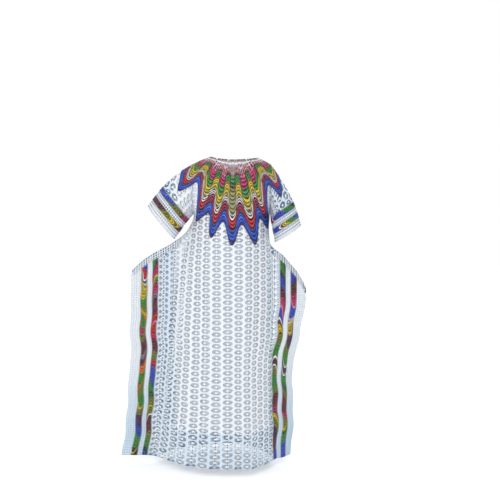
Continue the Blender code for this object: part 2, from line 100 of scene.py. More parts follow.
# The worn robe at each height, from the neck down to the hem
SECTION_COLUMNS = (
    "height", "back", "front", "round", "bell_left", "bell_right",
    "fold_left", "fold_right", "edge_left", "edge_right", "edge_y_left", "edge_y_right",
)
SECTIONS = (
    (0.000, 0.135, 0.135, 1.00, 0.176, 0.156, 0.000, 0.000, 0.176, 0.156, 0.000, 0.000),
    (-0.250, 0.138, 0.145, 1.00, 0.176, 0.156, 0.000, 0.000, 0.176, 0.156, 0.000, 0.000),
    (-0.320, 0.139, 0.150, 1.02, 0.190, 0.153, 0.000, 0.000, 0.203, 0.153, 0.000, 0.000),
    (-0.385, 0.140, 0.154, 1.05, 0.205, 0.158, 0.000, -0.002, 0.284, 0.160, 0.000, -0.002),
    (-0.430, 0.142, 0.155, 1.10, 0.220, 0.165, 0.000, -0.003, 0.368, 0.210, 0.003, -0.005),
    (-0.482, 0.144, 0.154, 1.14, 0.236, 0.170, 0.000, -0.002, 0.436, 0.259, 0.006, -0.010),
    (-0.507, 0.146, 0.153, 1.16, 0.243, 0.172, 0.000, 0.000, 0.455, 0.280, 0.008, -0.012),
    (-0.605, 0.150, 0.150, 1.20, 0.265, 0.174, 0.000, 0.006, 0.458, 0.322, 0.006, -0.020),
    (-0.720, 0.154, 0.150, 1.22, 0.285, 0.173, 0.000, 0.014, 0.461, 0.308, 0.004, -0.030),
    (-0.860, 0.159, 0.152, 1.22, 0.305, 0.170, 0.000, 0.022, 0.466, 0.278, 0.002, -0.036),
    (-1.010, 0.165, 0.156, 1.22, 0.325, 0.168, 0.000, 0.028, 0.474, 0.262, 0.000, -0.038),
    (-1.160, 0.172, 0.161, 1.22, 0.345, 0.172, 0.000, 0.033, 0.486, 0.266, 0.000, -0.034),
    (-1.340, 0.182, 0.168, 1.22, 0.370, 0.188, 0.000, 0.038, 0.512, 0.256, 0.000, -0.025),
)
CUFF_COLUMNS = ("over_x", "over_z", "under_x", "under_z", "half_depth", "centre_y")
CUFFS = {
    "left": (0.378, -0.218, 0.262, -0.362, 0.068, 0.004),
    "right": (0.292, -0.300, 0.178, -0.373, 0.080, 0.034),
}

# Soft folds that hang from the yoke. x runs to the wearer's left, and a trough has a depth below zero.
FOLD_COLUMNS = ("top", "x_top", "x_hem", "half_width", "depth")
FOLDS = {
    "back": (
        (-0.30, -0.092, -0.108, 0.020, -0.0075),
        (-0.36, -0.056, -0.066, 0.022, 0.0055),
        (-0.42, -0.012, -0.020, 0.024, -0.0050),
        (-0.52, 0.030, 0.028, 0.024, 0.0045),
        (-0.38, 0.074, 0.082, 0.022, -0.0060),
        (-0.44, 0.112, 0.130, 0.022, 0.0065),
        (-0.34, 0.146, 0.176, 0.020, -0.0070),
        (-0.60, 0.176, 0.226, 0.026, 0.0055),
        (-0.70, 0.222, 0.275, 0.024, -0.0045),
    ),
    "front": (
        (-0.34, -0.100, -0.118, 0.022, -0.0070),
        (-0.40, -0.060, -0.072, 0.022, 0.0060),
        (-0.50, -0.014, -0.024, 0.026, -0.0055),
        (-0.36, 0.036, 0.040, 0.024, 0.0050),
        (-0.42, 0.080, 0.092, 0.022, -0.0070),
        (-0.32, 0.124, 0.142, 0.022, 0.0060),
        (-0.48, 0.160, 0.198, 0.024, -0.0065),
        (-0.66, 0.206, 0.256, 0.026, 0.0050),
    ),
}
FOLD_FADE = 0.16  # how far below its top a fold reaches its full depth
# Slow waves down the wings, the same on both layers: height, how far out, half height, half width, depth
WING_WAVES = {
    "left": (
        (-0.62, 0.40, 0.10, 0.06, 0.006), (-0.84, 0.42, 0.11, 0.06, -0.006), (-1.06, 0.40, 0.10, 0.06, 0.007),
        (-1.27, 0.44, 0.09, 0.06, -0.007), (-1.13, 0.405, 0.20, 0.018, -0.010),
    ),
    "right": (),
}

# The yoke's scalloped edge on the flat cloth of the back: angle from the left shoulder line, and radius
YOKE_OUTLINE = (
    (0, 0.246), (12, 0.264), (21, 0.290), (27, 0.262), (33, 0.230), (40, 0.214), (48, 0.240), (55, 0.290),
    (60, 0.354), (66, 0.336), (72, 0.325), (74.5, 0.376), (76.6, 0.456), (80, 0.405), (84, 0.362),
    (86.3, 0.420), (89, 0.503), (92, 0.430), (94.7, 0.374), (98, 0.414), (102, 0.470), (106, 0.390),
    (110.5, 0.332), (113, 0.353), (116, 0.373), (122, 0.300), (130, 0.240), (140, 0.212), (150, 0.238),
    (160.5, 0.284), (170, 0.252), (180, 0.228),
)
YOKE_ROUNDING = (-2.1, -1.4, -0.7, 0.0, 0.7, 1.4, 2.1)  # degrees over which tips and valleys are rounded
YOKE_TIPS = (21, 60, 76.6, 89, 102, 116, 160.5)
YOKE_VALLEYS = (0, 40, 70, 84, 94.7, 110.5, 140, 180)
CENTRE_RAY = (84, 94.7)

# How thick each cloth is made, and how far its middle lies out from the form, in metres
LACE_WALL, LACE_OUT = 0.0010, 0.0
PRINT_WALL, BAND_OUT = 0.0006, 0.0014
TRIM_OUT = 0.0028
YOKE_OUT = 0.0026
LINING_WALL, LINING_CLEAR = 0.0007, 0.011
BINDING_WALL = 0.0010

# How the cloths are drawn. Thread spacings are in metres, and coarser than real ones, so that the weave shows.
TURN = 2 * math.pi
COTTON_IOR, PRINT_IOR = 1.47, 1.36
LAWN_THREADS, PRINT_THREADS, BAND_STITCH = 0.0024, 0.0018, 0.0045
PETALS = (0.43, 0.41)  # half width and half height of the ring of petal holes, as shares of an eyelet's cell
NET_THREADS = (17, 9)  # across and up one cell, about twice as far apart as real ones
EYELET_STITCHES, CORD_TWISTS, YOKE_LINES = 46.0, 4, 21.0
# Where the painted shade begins and ends, in metres
SHADE_LEFT, SHADE_RIGHT, SHADE_LOW = (0.245, 0.275), (-0.166, -0.146), (-1.22, -0.85)

PALETTE = {
    "royal": "#0A3CB4", "navy": "#0A104C", "sky": "#3F80D6", "crimson": "#B4061E", "maroon": "#56082A",
    "magenta": "#AE1258", "pink": "#D080A6", "green": "#12821C", "teal": "#06523A", "olive": "#66701A",
    "sage": "#868C58", "yellow": "#CBB20C", "orange": "#CC6414", "white": "#E4E0DA", "black": "#0C0910",
    "grey": "#74707A", "purple": "#3A1248",
}

CAMERA_PLACE, CAMERA_AIM, CAMERA_LENS = (-0.07, 3.6, -0.10), (-0.07, 0.0, -0.41), 58.9
FLOOR_RADIUS, FLOOR_GAP = 9.0, 0.030
FLOOR_GLOW = 0.26  # the floor is a lit white sweep, so that it meets the white surround
WORLD_LIGHT = 1.0
# Lights: name, place, size in metres, power in watts, colour
LIGHTS = (
    ("key light", (1.5, 3.0, 1.3), 1.2, 22.0, "#FFFCF6"),
    ("front light", (-1.2, -3.2, 1.2), 1.6, 18.0, "#FFFFFF"),
)

# The sunburst's zones from neck to edge: the share of the way out at which each colour starts
RAY_ZONES = (
    "grey 0 white 0.03 maroon 0.06 pink 0.1 maroon 0.13 magenta 0.18 pink 0.23 magenta 0.25 "
    "maroon 0.36 green 0.375 teal 0.46 yellow 0.475 olive 0.55 yellow 0.575 black 0.6 white 0.612 "
    "black 0.63 white 0.645 grey 0.665 white 0.68 maroon 0.698 crimson 0.715 maroon 0.8 navy 0.83 "
    "royal 0.845 sky 0.9 royal 0.912 navy 0.965"
)
VALLEY_ZONES = (
    "grey 0 white 0.04 grey 0.08 maroon 0.12 orange 0.17 maroon 0.2 green 0.26 teal 0.3 green 0.315 "
    "orange 0.37 yellow 0.4 olive 0.46 yellow 0.475 olive 0.53 white 0.56 black 0.575 white 0.595 "
    "black 0.612 white 0.63 maroon 0.645 magenta 0.68 maroon 0.7 crimson 0.745 maroon 0.77 navy 0.79 "
    "royal 0.81 sky 0.87 royal 0.885 navy 0.965"
)
CENTRE_ZONES = (
    "grey 0 white 0.03 grey 0.06 maroon 0.1 grey 0.15 green 0.2 teal 0.3 olive 0.33 sage 0.38 "
    "olive 0.47 sage 0.5 olive 0.62 black 0.645 white 0.655 black 0.675 white 0.685 maroon 0.705 "
    "crimson 0.72 maroon 0.8 navy 0.83 royal 0.845 sky 0.9 royal 0.912 navy 0.965"
)

# Each printed band's colours from its top down, or from the front round a sleeve, with their lengths in mm
SIDE_PRINTS = {
    "left_outer": (
        "royal 52 crimson 40 white 8 black 8 white 10 black 6 yellow 26 black 5 yellow 22 green 30 "
        "olive 34 yellow 22 orange 14 green 34 magenta 26 olive 30 maroon 58 grey 22 maroon 30 "
        "orange 42 green 48 orange 20 olive 34 green 46 yellow 14 olive 30 purple 50 royal 44 green 50 "
        "black 20 yellow 10 black 30"
    ),
    "left_inner": (
        "green 34 maroon 20 magenta 44 yellow 16 green 18 magenta 46 grey 20 maroon 60 crimson 48 "
        "pink 8 crimson 44 magenta 20 maroon 56 olive 42 crimson 30 royal 62 navy 10 green 40 teal 28 "
        "olive 34 yellow 8 olive 34 white 8 maroon 70 olive 40 green 36 navy 20 royal 60"
    ),
    "right_outer": (
        "navy 30 royal 46 black 12 maroon 40 magenta 34 pink 10 royal 52 white 10 black 8 white 8 "
        "yellow 22 black 6 yellow 20 purple 44 olive 32 green 44 white 12 purple 26 white 10 green 48 "
        "teal 26 olive 34 maroon 46 black 8 magenta 30 olive 36 yellow 18 black 10 green 40 royal 60"
    ),
    "right_inner": (
        "teal 26 green 40 navy 24 royal 44 maroon 46 magenta 30 pink 12 royal 40 white 10 maroon 22 "
        "yellow 26 black 8 olive 40 green 52 white 10 purple 30 white 8 olive 36 green 44 olive 30 "
        "maroon 60 magenta 24 black 8 yellow 20 olive 40 purple 40 maroon 50 royal 50"
    ),
}
NECK_PRINT = "grey 40 white 12 maroon 16 pink 12 grey 30 white 14 "
BAND_LEANS = {"outer": 0.10, "inner": -0.08, "sleeve": 0.12}  # how strongly the lines of each band bow
SLEEVE_PRINTS = {
    "left_outer": (
        "purple 50 maroon 46 olive 34 yellow 22 black 8 yellow 16 black 10 maroon 52 magenta 40 "
        "royal 48 green 50 olive 60"
    ),
    "left_inner": (
        "royal 54 sky 10 royal 40 olive 44 black 8 magenta 46 maroon 52 crimson 40 green 46 yellow 24 "
        "royal 60"
    ),
    "right_outer": (
        "royal 56 green 34 yellow 20 black 8 white 10 royal 46 sky 8 royal 44 navy 22 olive 40 "
        "crimson 36 green 60"
    ),
    "right_inner": (
        "navy 52 green 44 royal 60 white 10 crimson 34 black 8 royal 48 maroon 36 olive 44 yellow 20 "
        "navy 50"
    ),
}


def linear(hex_colour, alpha=1.0):
    """An sRGB hex colour as linear RGBA."""
    parts = [int(hex_colour[k : k + 2], 16) / 255 for k in (1, 3, 5)]
    return (*[p / 12.92 if p <= 0.04045 else ((p + 0.055) / 1.055) ** 2.4 for p in parts], alpha)


def named_numbers(text):
    """The names in a text with the numbers that follow them, as pairs."""
    words = text.split()
    return [(name, float(number)) for name, number in zip(words[::2], words[1::2])]


class LaceSettings(bpy.types.PropertyGroup):
    eyelet_pitch: FloatProperty(
        name="Eyelet spacing", description="Across, from one column of eyelets to the next",
        default=0.046, unit="LENGTH",
    )
    eyelet_row: FloatProperty(
        name="Eyelet rows", description="Height of one eyelet with the ground around it",
        default=0.0252, unit="LENGTH",
    )
    grid_pitch: FloatProperty(
        name="Grid spacing", description="From hole to hole in the borders' grid lace",
        default=0.0105, unit="LENGTH",
    )
    colour: FloatVectorProperty(
        name="Lace", description="Colour of the eyelet lace's raised thread", subtype="COLOR", size=3,
        default=linear("#F3F6FA")[:3],
    )


class FoldSettings(bpy.types.PropertyGroup):
    depth: FloatProperty(
        name="Fold depth", description="Share of their usual depth that the soft folds have",
        default=1.0, min=0.0, max=1.3, subtype="FACTOR",
    )


class PrintSettings(bpy.types.PropertyGroup):
    line: FloatProperty(
        name="Print lines", description="From one dark line of the print to the next",
        default=0.0135, unit="LENGTH",
    )
    roughness: FloatProperty(
        name="Print roughness", description="How matt the printed cotton is", default=0.72,
        min=0.0, max=1.0, subtype="FACTOR",
    )


class SmoothCurve:
    """A smooth curve through a table's rows that is level at each high and low."""

    def __init__(self, rows):
        rows = sorted(rows)
        self.places = [row[0] for row in rows]
        self.values = [row[1] for row in rows]
        rises = [(b[1] - a[1]) / (b[0] - a[0]) for a, b in zip(rows, rows[1:])]
        inner = [0.0 if a * b <= 0 else 2 * a * b / (a + b) for a, b in zip(rises, rises[1:])]
        self.slopes = [rises[0], *inner, rises[-1]]

    def __call__(self, at):
        at = min(max(at, self.places[0]), self.places[-1])
        k = min(bisect_right(self.places, at) - 1, len(self.places) - 2)
        step = self.places[k + 1] - self.places[k]
        t = (at - self.places[k]) / step
        return (
            self.values[k] * (2 * t**3 - 3 * t**2 + 1)
            + self.slopes[k] * step * (t**3 - 2 * t**2 + t)
            + self.values[k + 1] * (3 * t**2 - 2 * t**3)
            + self.slopes[k + 1] * step * (t**3 - t**2)
        )


SECTION_CURVES = {
    name: SmoothCurve([(row[0], row[k]) for row in SECTIONS])
    for k, name in enumerate(SECTION_COLUMNS) if k
}
YOKE_CURVE = SmoothCurve(YOKE_OUTLINE)


def polar(radius, turn):
    return radius * math.cos(turn), radius * math.sin(turn)


def evenly(start, end, count):
    """The ends of this many even steps."""
    return [start + (end - start) * k / count for k in range(count + 1)]


def eased(t):
    t = np.clip(t, 0.0, 1.0)
    return t * t * (3 - 2 * t)


def ridge(x, side):
    """Height of the shoulder line, which runs on across the neck."""
    return NECK_RISE - (NECK_RISE + SHOULDER_DROP) * (x / ARMHOLE_X[side]) ** 2


def armhole_reach(height):
    share = min(1.0, abs(height - CAP_FOOT) / CAP)
    return ARMHOLE_DEPTH * math.sqrt(1 - share * share)


def fold_depth(side, layer, x, height):
    """How far the soft folds stand out at places across one side, at this height."""
    across = SIDES[side] * x
    total = np.zeros_like(x)
    for row in FOLDS[layer]:
        fold = dict(zip(FOLD_COLUMNS, row))
        if height > fold["top"]:
            continue
        down = (fold["top"] - height) / (fold["top"] - HEM)
        centre = fold["x_top"] + (fold["x_hem"] - fold["x_top"]) * down
        sway = 0.004 * math.sin(9 * height + 40 * fold["x_top"])
        wide = fold["half_width"] * (0.8 + 0.45 * down)
        depth = fold["depth"] * float(eased((fold["top"] - height) / FOLD_FADE)) * (0.75 + 0.45 * down)
        total += depth * np.exp(-(((across - centre - sway) / wide) ** 2))
    return total * bpy.context.scene.boubou_folds.depth


def wing_wave(side, x, height):
    """How far back the wing's slow waves carry both layers."""
    total = np.zeros_like(x)
    for level, centre, high, wide, depth in WING_WAVES[side]:
        total += depth * np.exp(-(((x - centre) / wide) ** 2) - ((height - level) / high) ** 2)
    return total * bpy.context.scene.boubou_folds.depth


class Section:
    """One layer's line across the robe at one height, from the centre out to the edge of one side."""

    def __init__(self, side, layer, height):
        value = {name: curve(height) for name, curve in SECTION_CURVES.items()}
        edge, edge_y = value["edge_" + side], value["edge_y_" + side]
        below = float(eased((UNDERARM - RIPPLE_START - height) / RIPPLE_GROWTH))
        for across, deep, pitch, start in RIPPLES:
            wave = TURN * height / pitch + start + (RIPPLE_RIGHT if side == "right" else 0.0)
            edge += across * math.sin(wave) * below
            edge_y += deep * math.cos(wave) * below
        reach = 0.0
        if height > UNDERARM:
            edge = ARMHOLE_X[side]
            reach = armhole_reach(height)
        bell = min(value["bell_" + side], edge)
        fold = value["fold_" + side]
        self.x = np.linspace(0, edge, SECTION_POINTS)
        bulge = (1 - np.clip(self.x / bell, 0, 1) ** BULGE_POWER) ** value["round"]
        outward = np.clip((self.x - bell) / max(edge - bell, 0.002), 0, 1) ** WING_TURN
        self.middle = fold * eased(self.x / bell) + (edge_y - fold) * outward
        self.middle = self.middle + wing_wave(side, self.x, height) * (1 - np.clip(2 * bulge, 0, 1))
        apart = LAYERS_APART / 2 * np.hypot(1, np.gradient(self.middle, self.x))
        folds = fold_depth(side, layer, self.x, height) * np.clip(3 * bulge, 0, 1)
        self.y = self.middle + LAYERS[layer] * (apart + reach + (value[layer] - reach) * bulge + folds)
        steps = np.hypot(np.diff(self.x), np.diff(self.y))
        self.arc = np.concatenate([[0], np.cumsum(steps)])
        self.width = float(self.arc[-1])
        self.edge = float(edge)

    def x_at(self, arc):
        return float(np.interp(arc, self.arc, self.x))

    def arc_at(self, x):
        return float(np.interp(x, self.x, self.arc))

    def x_inward(self, distance):
        return float(np.interp(self.width - distance, self.arc, self.x))

    def y_at(self, x):
        return float(np.interp(x, self.x, self.y))


CACHE = {}


def kept(function):
    """Keeps each value once it is worked out."""
    def look_up(*key):
        key = tuple(round(k, 5) if isinstance(k, float) else k for k in key)
        name = (function.__name__, *key)
        if name not in CACHE:
            CACHE[name] = function(*key)
        return CACHE[name]
    return look_up


@kept
def section(side, layer, height):
    return Section(side, layer, height)


@kept
def cap_oval(side, layer, x):
    """The shoulder cap's foot, depth and oval at x: its turns, how far along it each is, and the quarter."""
    foot = ridge(x, side) - CAP
    depth = abs(section(side, layer, round(foot, 3)).y_at(x))
    turns = np.linspace(0, math.pi / 2, 50)
    points = np.stack([CAP * np.cos(turns), depth * np.sin(turns)], axis=1)
    arcs = np.concatenate([[0], np.cumsum(np.linalg.norm(np.diff(points, axis=0), axis=1))])
    return foot, depth, turns, arcs, float(arcs[-1])


@kept
def arm_oval():
    turns = np.linspace(0, math.pi, 90)
    points = np.stack([CAP * np.cos(turns), ARMHOLE_DEPTH * np.sin(turns)], axis=1)
    return turns, np.concatenate([[0], np.cumsum(np.linalg.norm(np.diff(points, axis=0), axis=1))])


def body_point(side, layer, x, height):
    return Vector((SIDES[side] * x, section(side, layer, height).y_at(x), height))


def cap_end(side, layer, x):
    """How high the shoulder line lies, measured up the cloth and over the cap."""
    foot, _, _, _, quarter = cap_oval(side, layer, x)
    return foot + quarter


def panel_top(side, layer, x):
    return cap_end(side, layer, x) - neck_arc(side, layer, x)


def neck_arc(side, layer, x):
    """How far down the cap the neckline or the shoulder seam lies."""
    _, depth, turns, arcs, _ = cap_oval(side, layer, x)
    reach = 0.0006
    if x < NECK_X:
        reach = max(reach, NECK_REACH[layer] * math.sqrt(1 - (x / NECK_X) ** 2))
    return float(np.interp(math.asin(min(1.0, reach / depth)), turns, arcs))


def shoulder_point(side, layer, x, up):
    """A point above the underarm. up is the height, and from the cap's foot on the way along the cap."""
    foot, depth, turns, arcs, quarter = cap_oval(side, layer, x)
    if up <= foot:
        return body_point(side, layer, x, up)
    turn = float(np.interp(quarter - (up - foot), arcs, turns))
    return Vector((SIDES[side] * x, LAYERS[layer] * depth * math.sin(turn), foot + CAP * math.cos(turn)))


def sleeve_point(side, along, turn):
    """A point on a sleeve. turn is 0 over the arm, positive round the back and half a turn under the arm."""
    cuff = dict(zip(CUFF_COLUMNS, CUFFS[side]))
    sign, start = SIDES[side], ARMHOLE_X[side] + SLEEVE_START
    start_top, start_low = Vector((sign * start, 0, -SHOULDER_DROP)), Vector((sign * start, 0, UNDERARM))
    end_top = Vector((sign * cuff["over_x"], cuff["centre_y"], cuff["over_z"]))
    end_low = Vector((sign * cuff["under_x"], cuff["centre_y"], cuff["under_z"]))
    top, low = start_top.lerp(end_top, along), start_low.lerp(end_low, along)
    outward = Vector((end_top.z - start_top.z, 0, -(end_top.x - start_top.x))).normalized()
    if outward.z < 0:
        outward.negate()
    top += outward * SLEEVE_BULGE * math.sin(math.pi * along)
    depth = ARMHOLE_DEPTH + (cuff["half_depth"] - ARMHOLE_DEPTH) * float(eased(along))
    slack = 1 + 0.035 * math.sin(math.pi * min(1.0, along * 1.1)) * math.sin(3 * turn + 2.2 * along + sign)
    slack += 0.02 * along * math.sin(5 * turn + 1.4)
    from_middle = (top - low) / 2 * math.cos(turn) + Vector((0, depth * math.sin(turn), 0))
    return (top + low) / 2 + from_middle * slack


@kept
def sleeve_length(side, turn):
    points = [sleeve_point(side, k / 8, turn) for k in range(9)]
    return sum((b - a).length for a, b in zip(points, points[1:]))


def flat_point(across, down):
    """Where a point of the flat cloth round the neck comes to lie. down is from the shoulder line, above zero
    at the back and below zero in front."""
    side = "left" if across >= 0 else "right"
    layer = "back" if down >= 0 else "front"
    across, down = abs(across), abs(down)
    level = section(side, layer, CAP_FOOT)
    if across > level.width:
        turns, arcs = arm_oval()
        turn = float(np.interp(down, arcs, turns)) * LAYERS[layer]
        return sleeve_point(side, min(1.0, (across - level.width) / sleeve_length(side, turn)), turn)
    x = level.x_at(across)
    up = cap_end(side, layer, x) - down
    if up < UNDERARM:
        return body_point(side, layer, body_x(side, layer, x, up), up)
    return shoulder_point(side, layer, x, up)


def body_x(side, layer, x, height):
    """How far out the column of cloth is that starts from x under the armhole."""
    return section(side, layer, height).x_at(section(side, layer, UNDERARM).arc_at(x))


@kept
def seam_arc(side, layer, height):
    """How far from the centre the border's seam is, along the cloth."""
    return section(side, layer, min(height, CORNER[side])).width - SIDE_BORDER


@kept
def border_top(side, layer, inward):
    """Height at which a line this far in from the outer edge meets the slanting opening."""
    x = section(side, layer, CORNER[side]).x_inward(inward)
    return opening_height(side, layer, x)


@kept
def opening_height(side, layer, x):
    low, high = CORNER[side], UNDERARM
    for _ in range(22):
        middle = (low + high) / 2
        if x > section(side, layer, middle).edge:
            high = middle
        else:
            low = middle
    return low


def border_point(side, layer, inward, height):
    height = min(height, border_top(side, layer, inward))
    level = section(side, layer, min(height, CORNER[side]))
    x = min(level.x_inward(inward), section(side, layer, height).edge)
    return body_point(side, layer, x, height)


def yoke_radius(angle):
    """Radius of the scalloped edge at an angle in degrees, all round."""
    angle = angle % 360
    angle = angle if angle <= 180 else 360 - angle
    near = [min(max(angle + turn, 0), 180) for turn in YOKE_ROUNDING]
    return sum(YOKE_CURVE(a) for a in near) / len(near)


def under_yoke(across, down, margin):
    """Whether the yoke covers this place on the flat cloth by at least the margin."""
    angle = math.degrees(math.atan2(down, across))
    return math.hypot(across, down) < yoke_radius(angle) - margin


# Lace cells, drawn once in a unit square round the origin: points, faces
def bridged(outer, inner, points):
    """Triangles between two rings of point numbers, each in order of its angle."""
    def angle(k):
        return math.atan2(points[k][1], points[k][0]) % TURN

    def next_angle(k):
        if at[k] >= len(rings[k]):
            return math.inf
        return angle(ends[k][at[k] + 1]) + (TURN if at[k] + 1 == len(rings[k]) else 0)

    rings = [sorted(ring, key=angle) for ring in (outer, inner)]
    ends = [ring + [ring[0]] for ring in rings]
    at = [0, 0]
    faces = []
    while at[0] < len(outer) or at[1] < len(inner):
        k = 0 if next_angle(0) <= next_angle(1) else 1
        a, b = ends[0][at[0]], ends[1][at[1]]
        faces.append((a, ends[k][at[k] + 1], b))
        at[k] += 1
    return faces


EDGE_POINTS = [
    (0.5, 0.0), (0.5, 0.5), (0.0, 0.5), (-0.5, 0.5), (-0.5, 0.0), (-0.5, -0.5), (0.0, -0.5), (0.5, -0.5),
]
CORNERS = [(0.5, 0.5), (-0.5, 0.5), (-0.5, -0.5), (0.5, -0.5)]
GRID_HOLE = 0.295  # radius of a grid hole's corners, as a share of its cell


def eyelet_cell():
    """An oval eyelet: a solid heart held by six bars, with six petal holes round it."""
    points = list(EDGE_POINTS)
    half_bar = {28: 5.5, 90: 7.5, 152: 5.5, 208: 5.5, 270: 7.5, 332: 5.5}
    ring, heart = [], []
    rim_x, rim_y, heart_x, heart_y = 0.392, 0.362, 0.135, 0.112

    def add(angle, rx, ry):
        points.append((rx * math.cos(math.radians(angle)), ry * math.sin(math.radians(angle))))
        return len(points) - 1

    faces = []
    for bar, half in half_bar.items():
        ring += [add(bar - half, rim_x, rim_y), add(bar + half, rim_x, rim_y)]
        heart += [add(bar - 2.2 * half, heart_x, heart_y), add(bar + 2.2 * half, heart_x, heart_y)]
        faces.append((ring[-2], ring[-1], heart[-1], heart[-2]))
    between = [add(angle, rim_x, rim_y) for angle in (59, 121, 239, 301)]
    between += [add(angle, rim_x + 0.03, rim_y) for angle in (0, 180)]
    faces += bridged(list(range(8)), ring + between, points)
    faces.append(tuple(heart))
    return points, faces


def grid_cell():
    """A rounded square hole in a grid of threads."""
    points = CORNERS + [polar(GRID_HOLE, math.radians(22.5 + 45 * k)) for k in range(8)]
    return points, bridged([0, 1, 2, 3], list(range(4, 12)), points)


CELLS = {
    "plain": (EDGE_POINTS, [tuple(range(8))]),
    "eyelet": eyelet_cell(),
    "grid": grid_cell(),
    "solid": (CORNERS, [(0, 1, 2, 3)]),
}


def finish_sheet(name, mesh, outward, out, wall, finish):
    """Turns a sheet's faces outwards, moves it out from the form and gives it its thickness."""
    bmesh.ops.dissolve_degenerate(mesh, dist=1e-6, edges=mesh.edges)
    mesh.normal_update()
    facing = [face.normal.dot(outward(face.calc_center_median())) * face.calc_area() for face in mesh.faces]
    if sum(facing) < 0:
        bmesh.ops.reverse_faces(mesh, faces=mesh.faces)
        mesh.normal_update()
    for vertex, normal in [(v, v.normal.copy()) for v in mesh.verts]:
        vertex.co += normal * out
    data = bpy.data.meshes.new(name)
    mesh.to_mesh(data)
    mesh.free()
    data.shade_smooth()
    data.materials.append(finish)
    piece = bpy.data.objects.new(name, data)
    bpy.context.scene.collection.objects.link(piece)
    thick = piece.modifiers.new("thickness", "SOLIDIFY")
    thick.thickness = wall
    thick.offset = 0
    thick.use_even_offset = False
    return piece


def lace_sheet(name, cells, place, outward, out, finish):
    """A sheet of lace. cells lists each cell's kind and its middle on the flat cloth, counted in
    cells, and place says where a point of the flat cloth comes to lie."""
    points, faces = [], []
    for kind, across, up in cells:
        shape, sides = CELLS[kind]
        start = len(points)
        points += [(across + x, up + y) for x, y in shape]
        faces += [tuple(start + k for k in side) for side in sides]
    mesh = bmesh.new()
    verts = [mesh.verts.new((x, y, 0)) for x, y in points]
    for side in faces:
        mesh.faces.new([verts[k] for k in side])
    bmesh.ops.remove_doubles(mesh, verts=mesh.verts, dist=1e-4)
    layer = mesh.loops.layers.uv.new("cloth")
    for face in mesh.faces:
        for loop in face.loops:
            loop[layer].uv = loop.vert.co.xy
    for vertex in mesh.verts:
        vertex.co = place(vertex.co.x, vertex.co.y)
    bmesh.ops.remove_doubles(mesh, verts=mesh.verts, dist=2e-5)
    return finish_sheet(name, mesh, outward, out, LACE_WALL, finish)


def cloth_sheet(name, columns, rows, place, uv, outward, out, wall, finish, ring=False, marks=None):
    """A plain or printed sheet on a grid of lines. uv says where a line crossing lies in the print, and marks
    holds a named value for each column."""
    mesh = bmesh.new()
    layer = mesh.loops.layers.uv.new("print")
    mark = mesh.verts.layers.float.new("centre") if marks else None
    crossings = [[mesh.verts.new(place(column, row)) for column in columns] for row in rows]
    if marks:
        for line in crossings:
            for vertex, value in zip(line, marks):
                vertex[mark] = value
    spans = list(range(len(columns) - 1)) + ([len(columns) - 1] if ring else [])
    for r in range(len(rows) - 1):
        for c in spans:
            after = (c + 1) % len(columns)
            corners = ((c, r), (after, r), (after, r + 1), (c, r + 1))
            face = mesh.faces.new([crossings[b][a] for a, b in corners])
            for loop, (a, b) in zip(face.loops, corners):
                loop[layer].uv = uv(a if a >= c else len(columns), b)
    return finish_sheet(name, mesh, outward, out, wall, finish)


def hand_over(piece, node, area=None):
    """Ties a finished cloth to the frame, and hides the solid it stands for. Its flat cut, area, is not used.
    """
    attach(piece, "root")
    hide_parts(node)


# Materials
class Value:
    """What a node works out, with the usual signs of arithmetic."""

    def __init__(self, socket):
        self.socket = socket
        self.tree = socket.id_data

    def step(self, operation, *others, first=None):
        inputs = dict(enumerate((self if first is None else first, *others)))
        return add_node(self.tree, "Math", inputs, operation=operation)

    def __abs__(self):
        return self.step("ABSOLUTE")

    def __add__(self, other):
        return self.step("ADD", other)

    def __sub__(self, other):
        return self.step("SUBTRACT", other)

    def __rsub__(self, other):
        return self.step("SUBTRACT", self, first=other)

    def __mul__(self, other):
        return self.step("MULTIPLY", other)

    def __truediv__(self, other):
        return self.step("DIVIDE", other)

    def __gt__(self, other):
        return self.step("GREATER_THAN", other)

    def __lt__(self, other):
        return self.step("LESS_THAN", other)

    def squared(self):
        return self.step("POWER", 2.0)

    def sine(self):
        return self.step("SINE")

    def fraction(self):
        return self.step("FRACT")

    def rising(self, low, high):
        """0 up to low and 1 from high on, with a smooth rise between."""
        limits = {"Value": self, "From Min": low, "From Max": high}
        return add_node(self.tree, "MapRange", limits, interpolation_type="SMOOTHSTEP")

    def falling(self, low, high):
        return 1.0 - self.rising(low, high)

    def lines(self, count, low, high):
        """1 on thin lines that come so many times along a value from 0 to 1, and 0 between them."""
        return abs((self * count).fraction() - 0.5).falling(low, high)

    def zones(self, table):
        """Sharp-edged zones of the palette's colours along this value. table holds names and starts."""
        ramp = add_node(self.tree, "ValToRGB", {0: self})
        elements = ramp.socket.node.color_ramp
        elements.interpolation = "CONSTANT"
        stops = elements.elements
        stops.remove(stops[1])
        for k, (name, start) in enumerate(table):
            stop = stops[0] if k == 0 else stops.new(start)
            stop.position = start
            stop.color = linear(PALETTE[name])
        return ramp


def set_inputs(made, inputs):
    """Links or sets a node's inputs by name or number."""
    for name, value in dict(inputs).items():
        if isinstance(value, Value):
            made.id_data.links.new(value.socket, made.inputs[name])
        else:
            made.inputs[name].default_value = value


def add_node(tree, kind, inputs=(), output=0, **settings):
    """Adds a node with its settings and inputs, and gives what it works out."""
    made = tree.nodes.new("ShaderNode" + kind)
    for name, value in settings.items():
        setattr(made, name, value)
    set_inputs(made, inputs)
    return Value(made.outputs[output])


def new_material(name):
    material = bpy.data.materials.new(name)
    material.use_nodes = True
    return material, material.node_tree, material.node_tree.nodes["Principled BSDF"]


def new_cloth(name, roughness, sheen, ior=COTTON_IOR):
    """A cotton's material: no metal, and a low sheen from the fibre ends."""
    material, tree, shader = new_material(name)
    set_inputs(shader, {
        "Roughness": roughness, "Metallic": 0.0, "IOR": ior, "Sheen Weight": sheen, "Sheen Roughness": 0.5,
    })
    return material, tree, shader


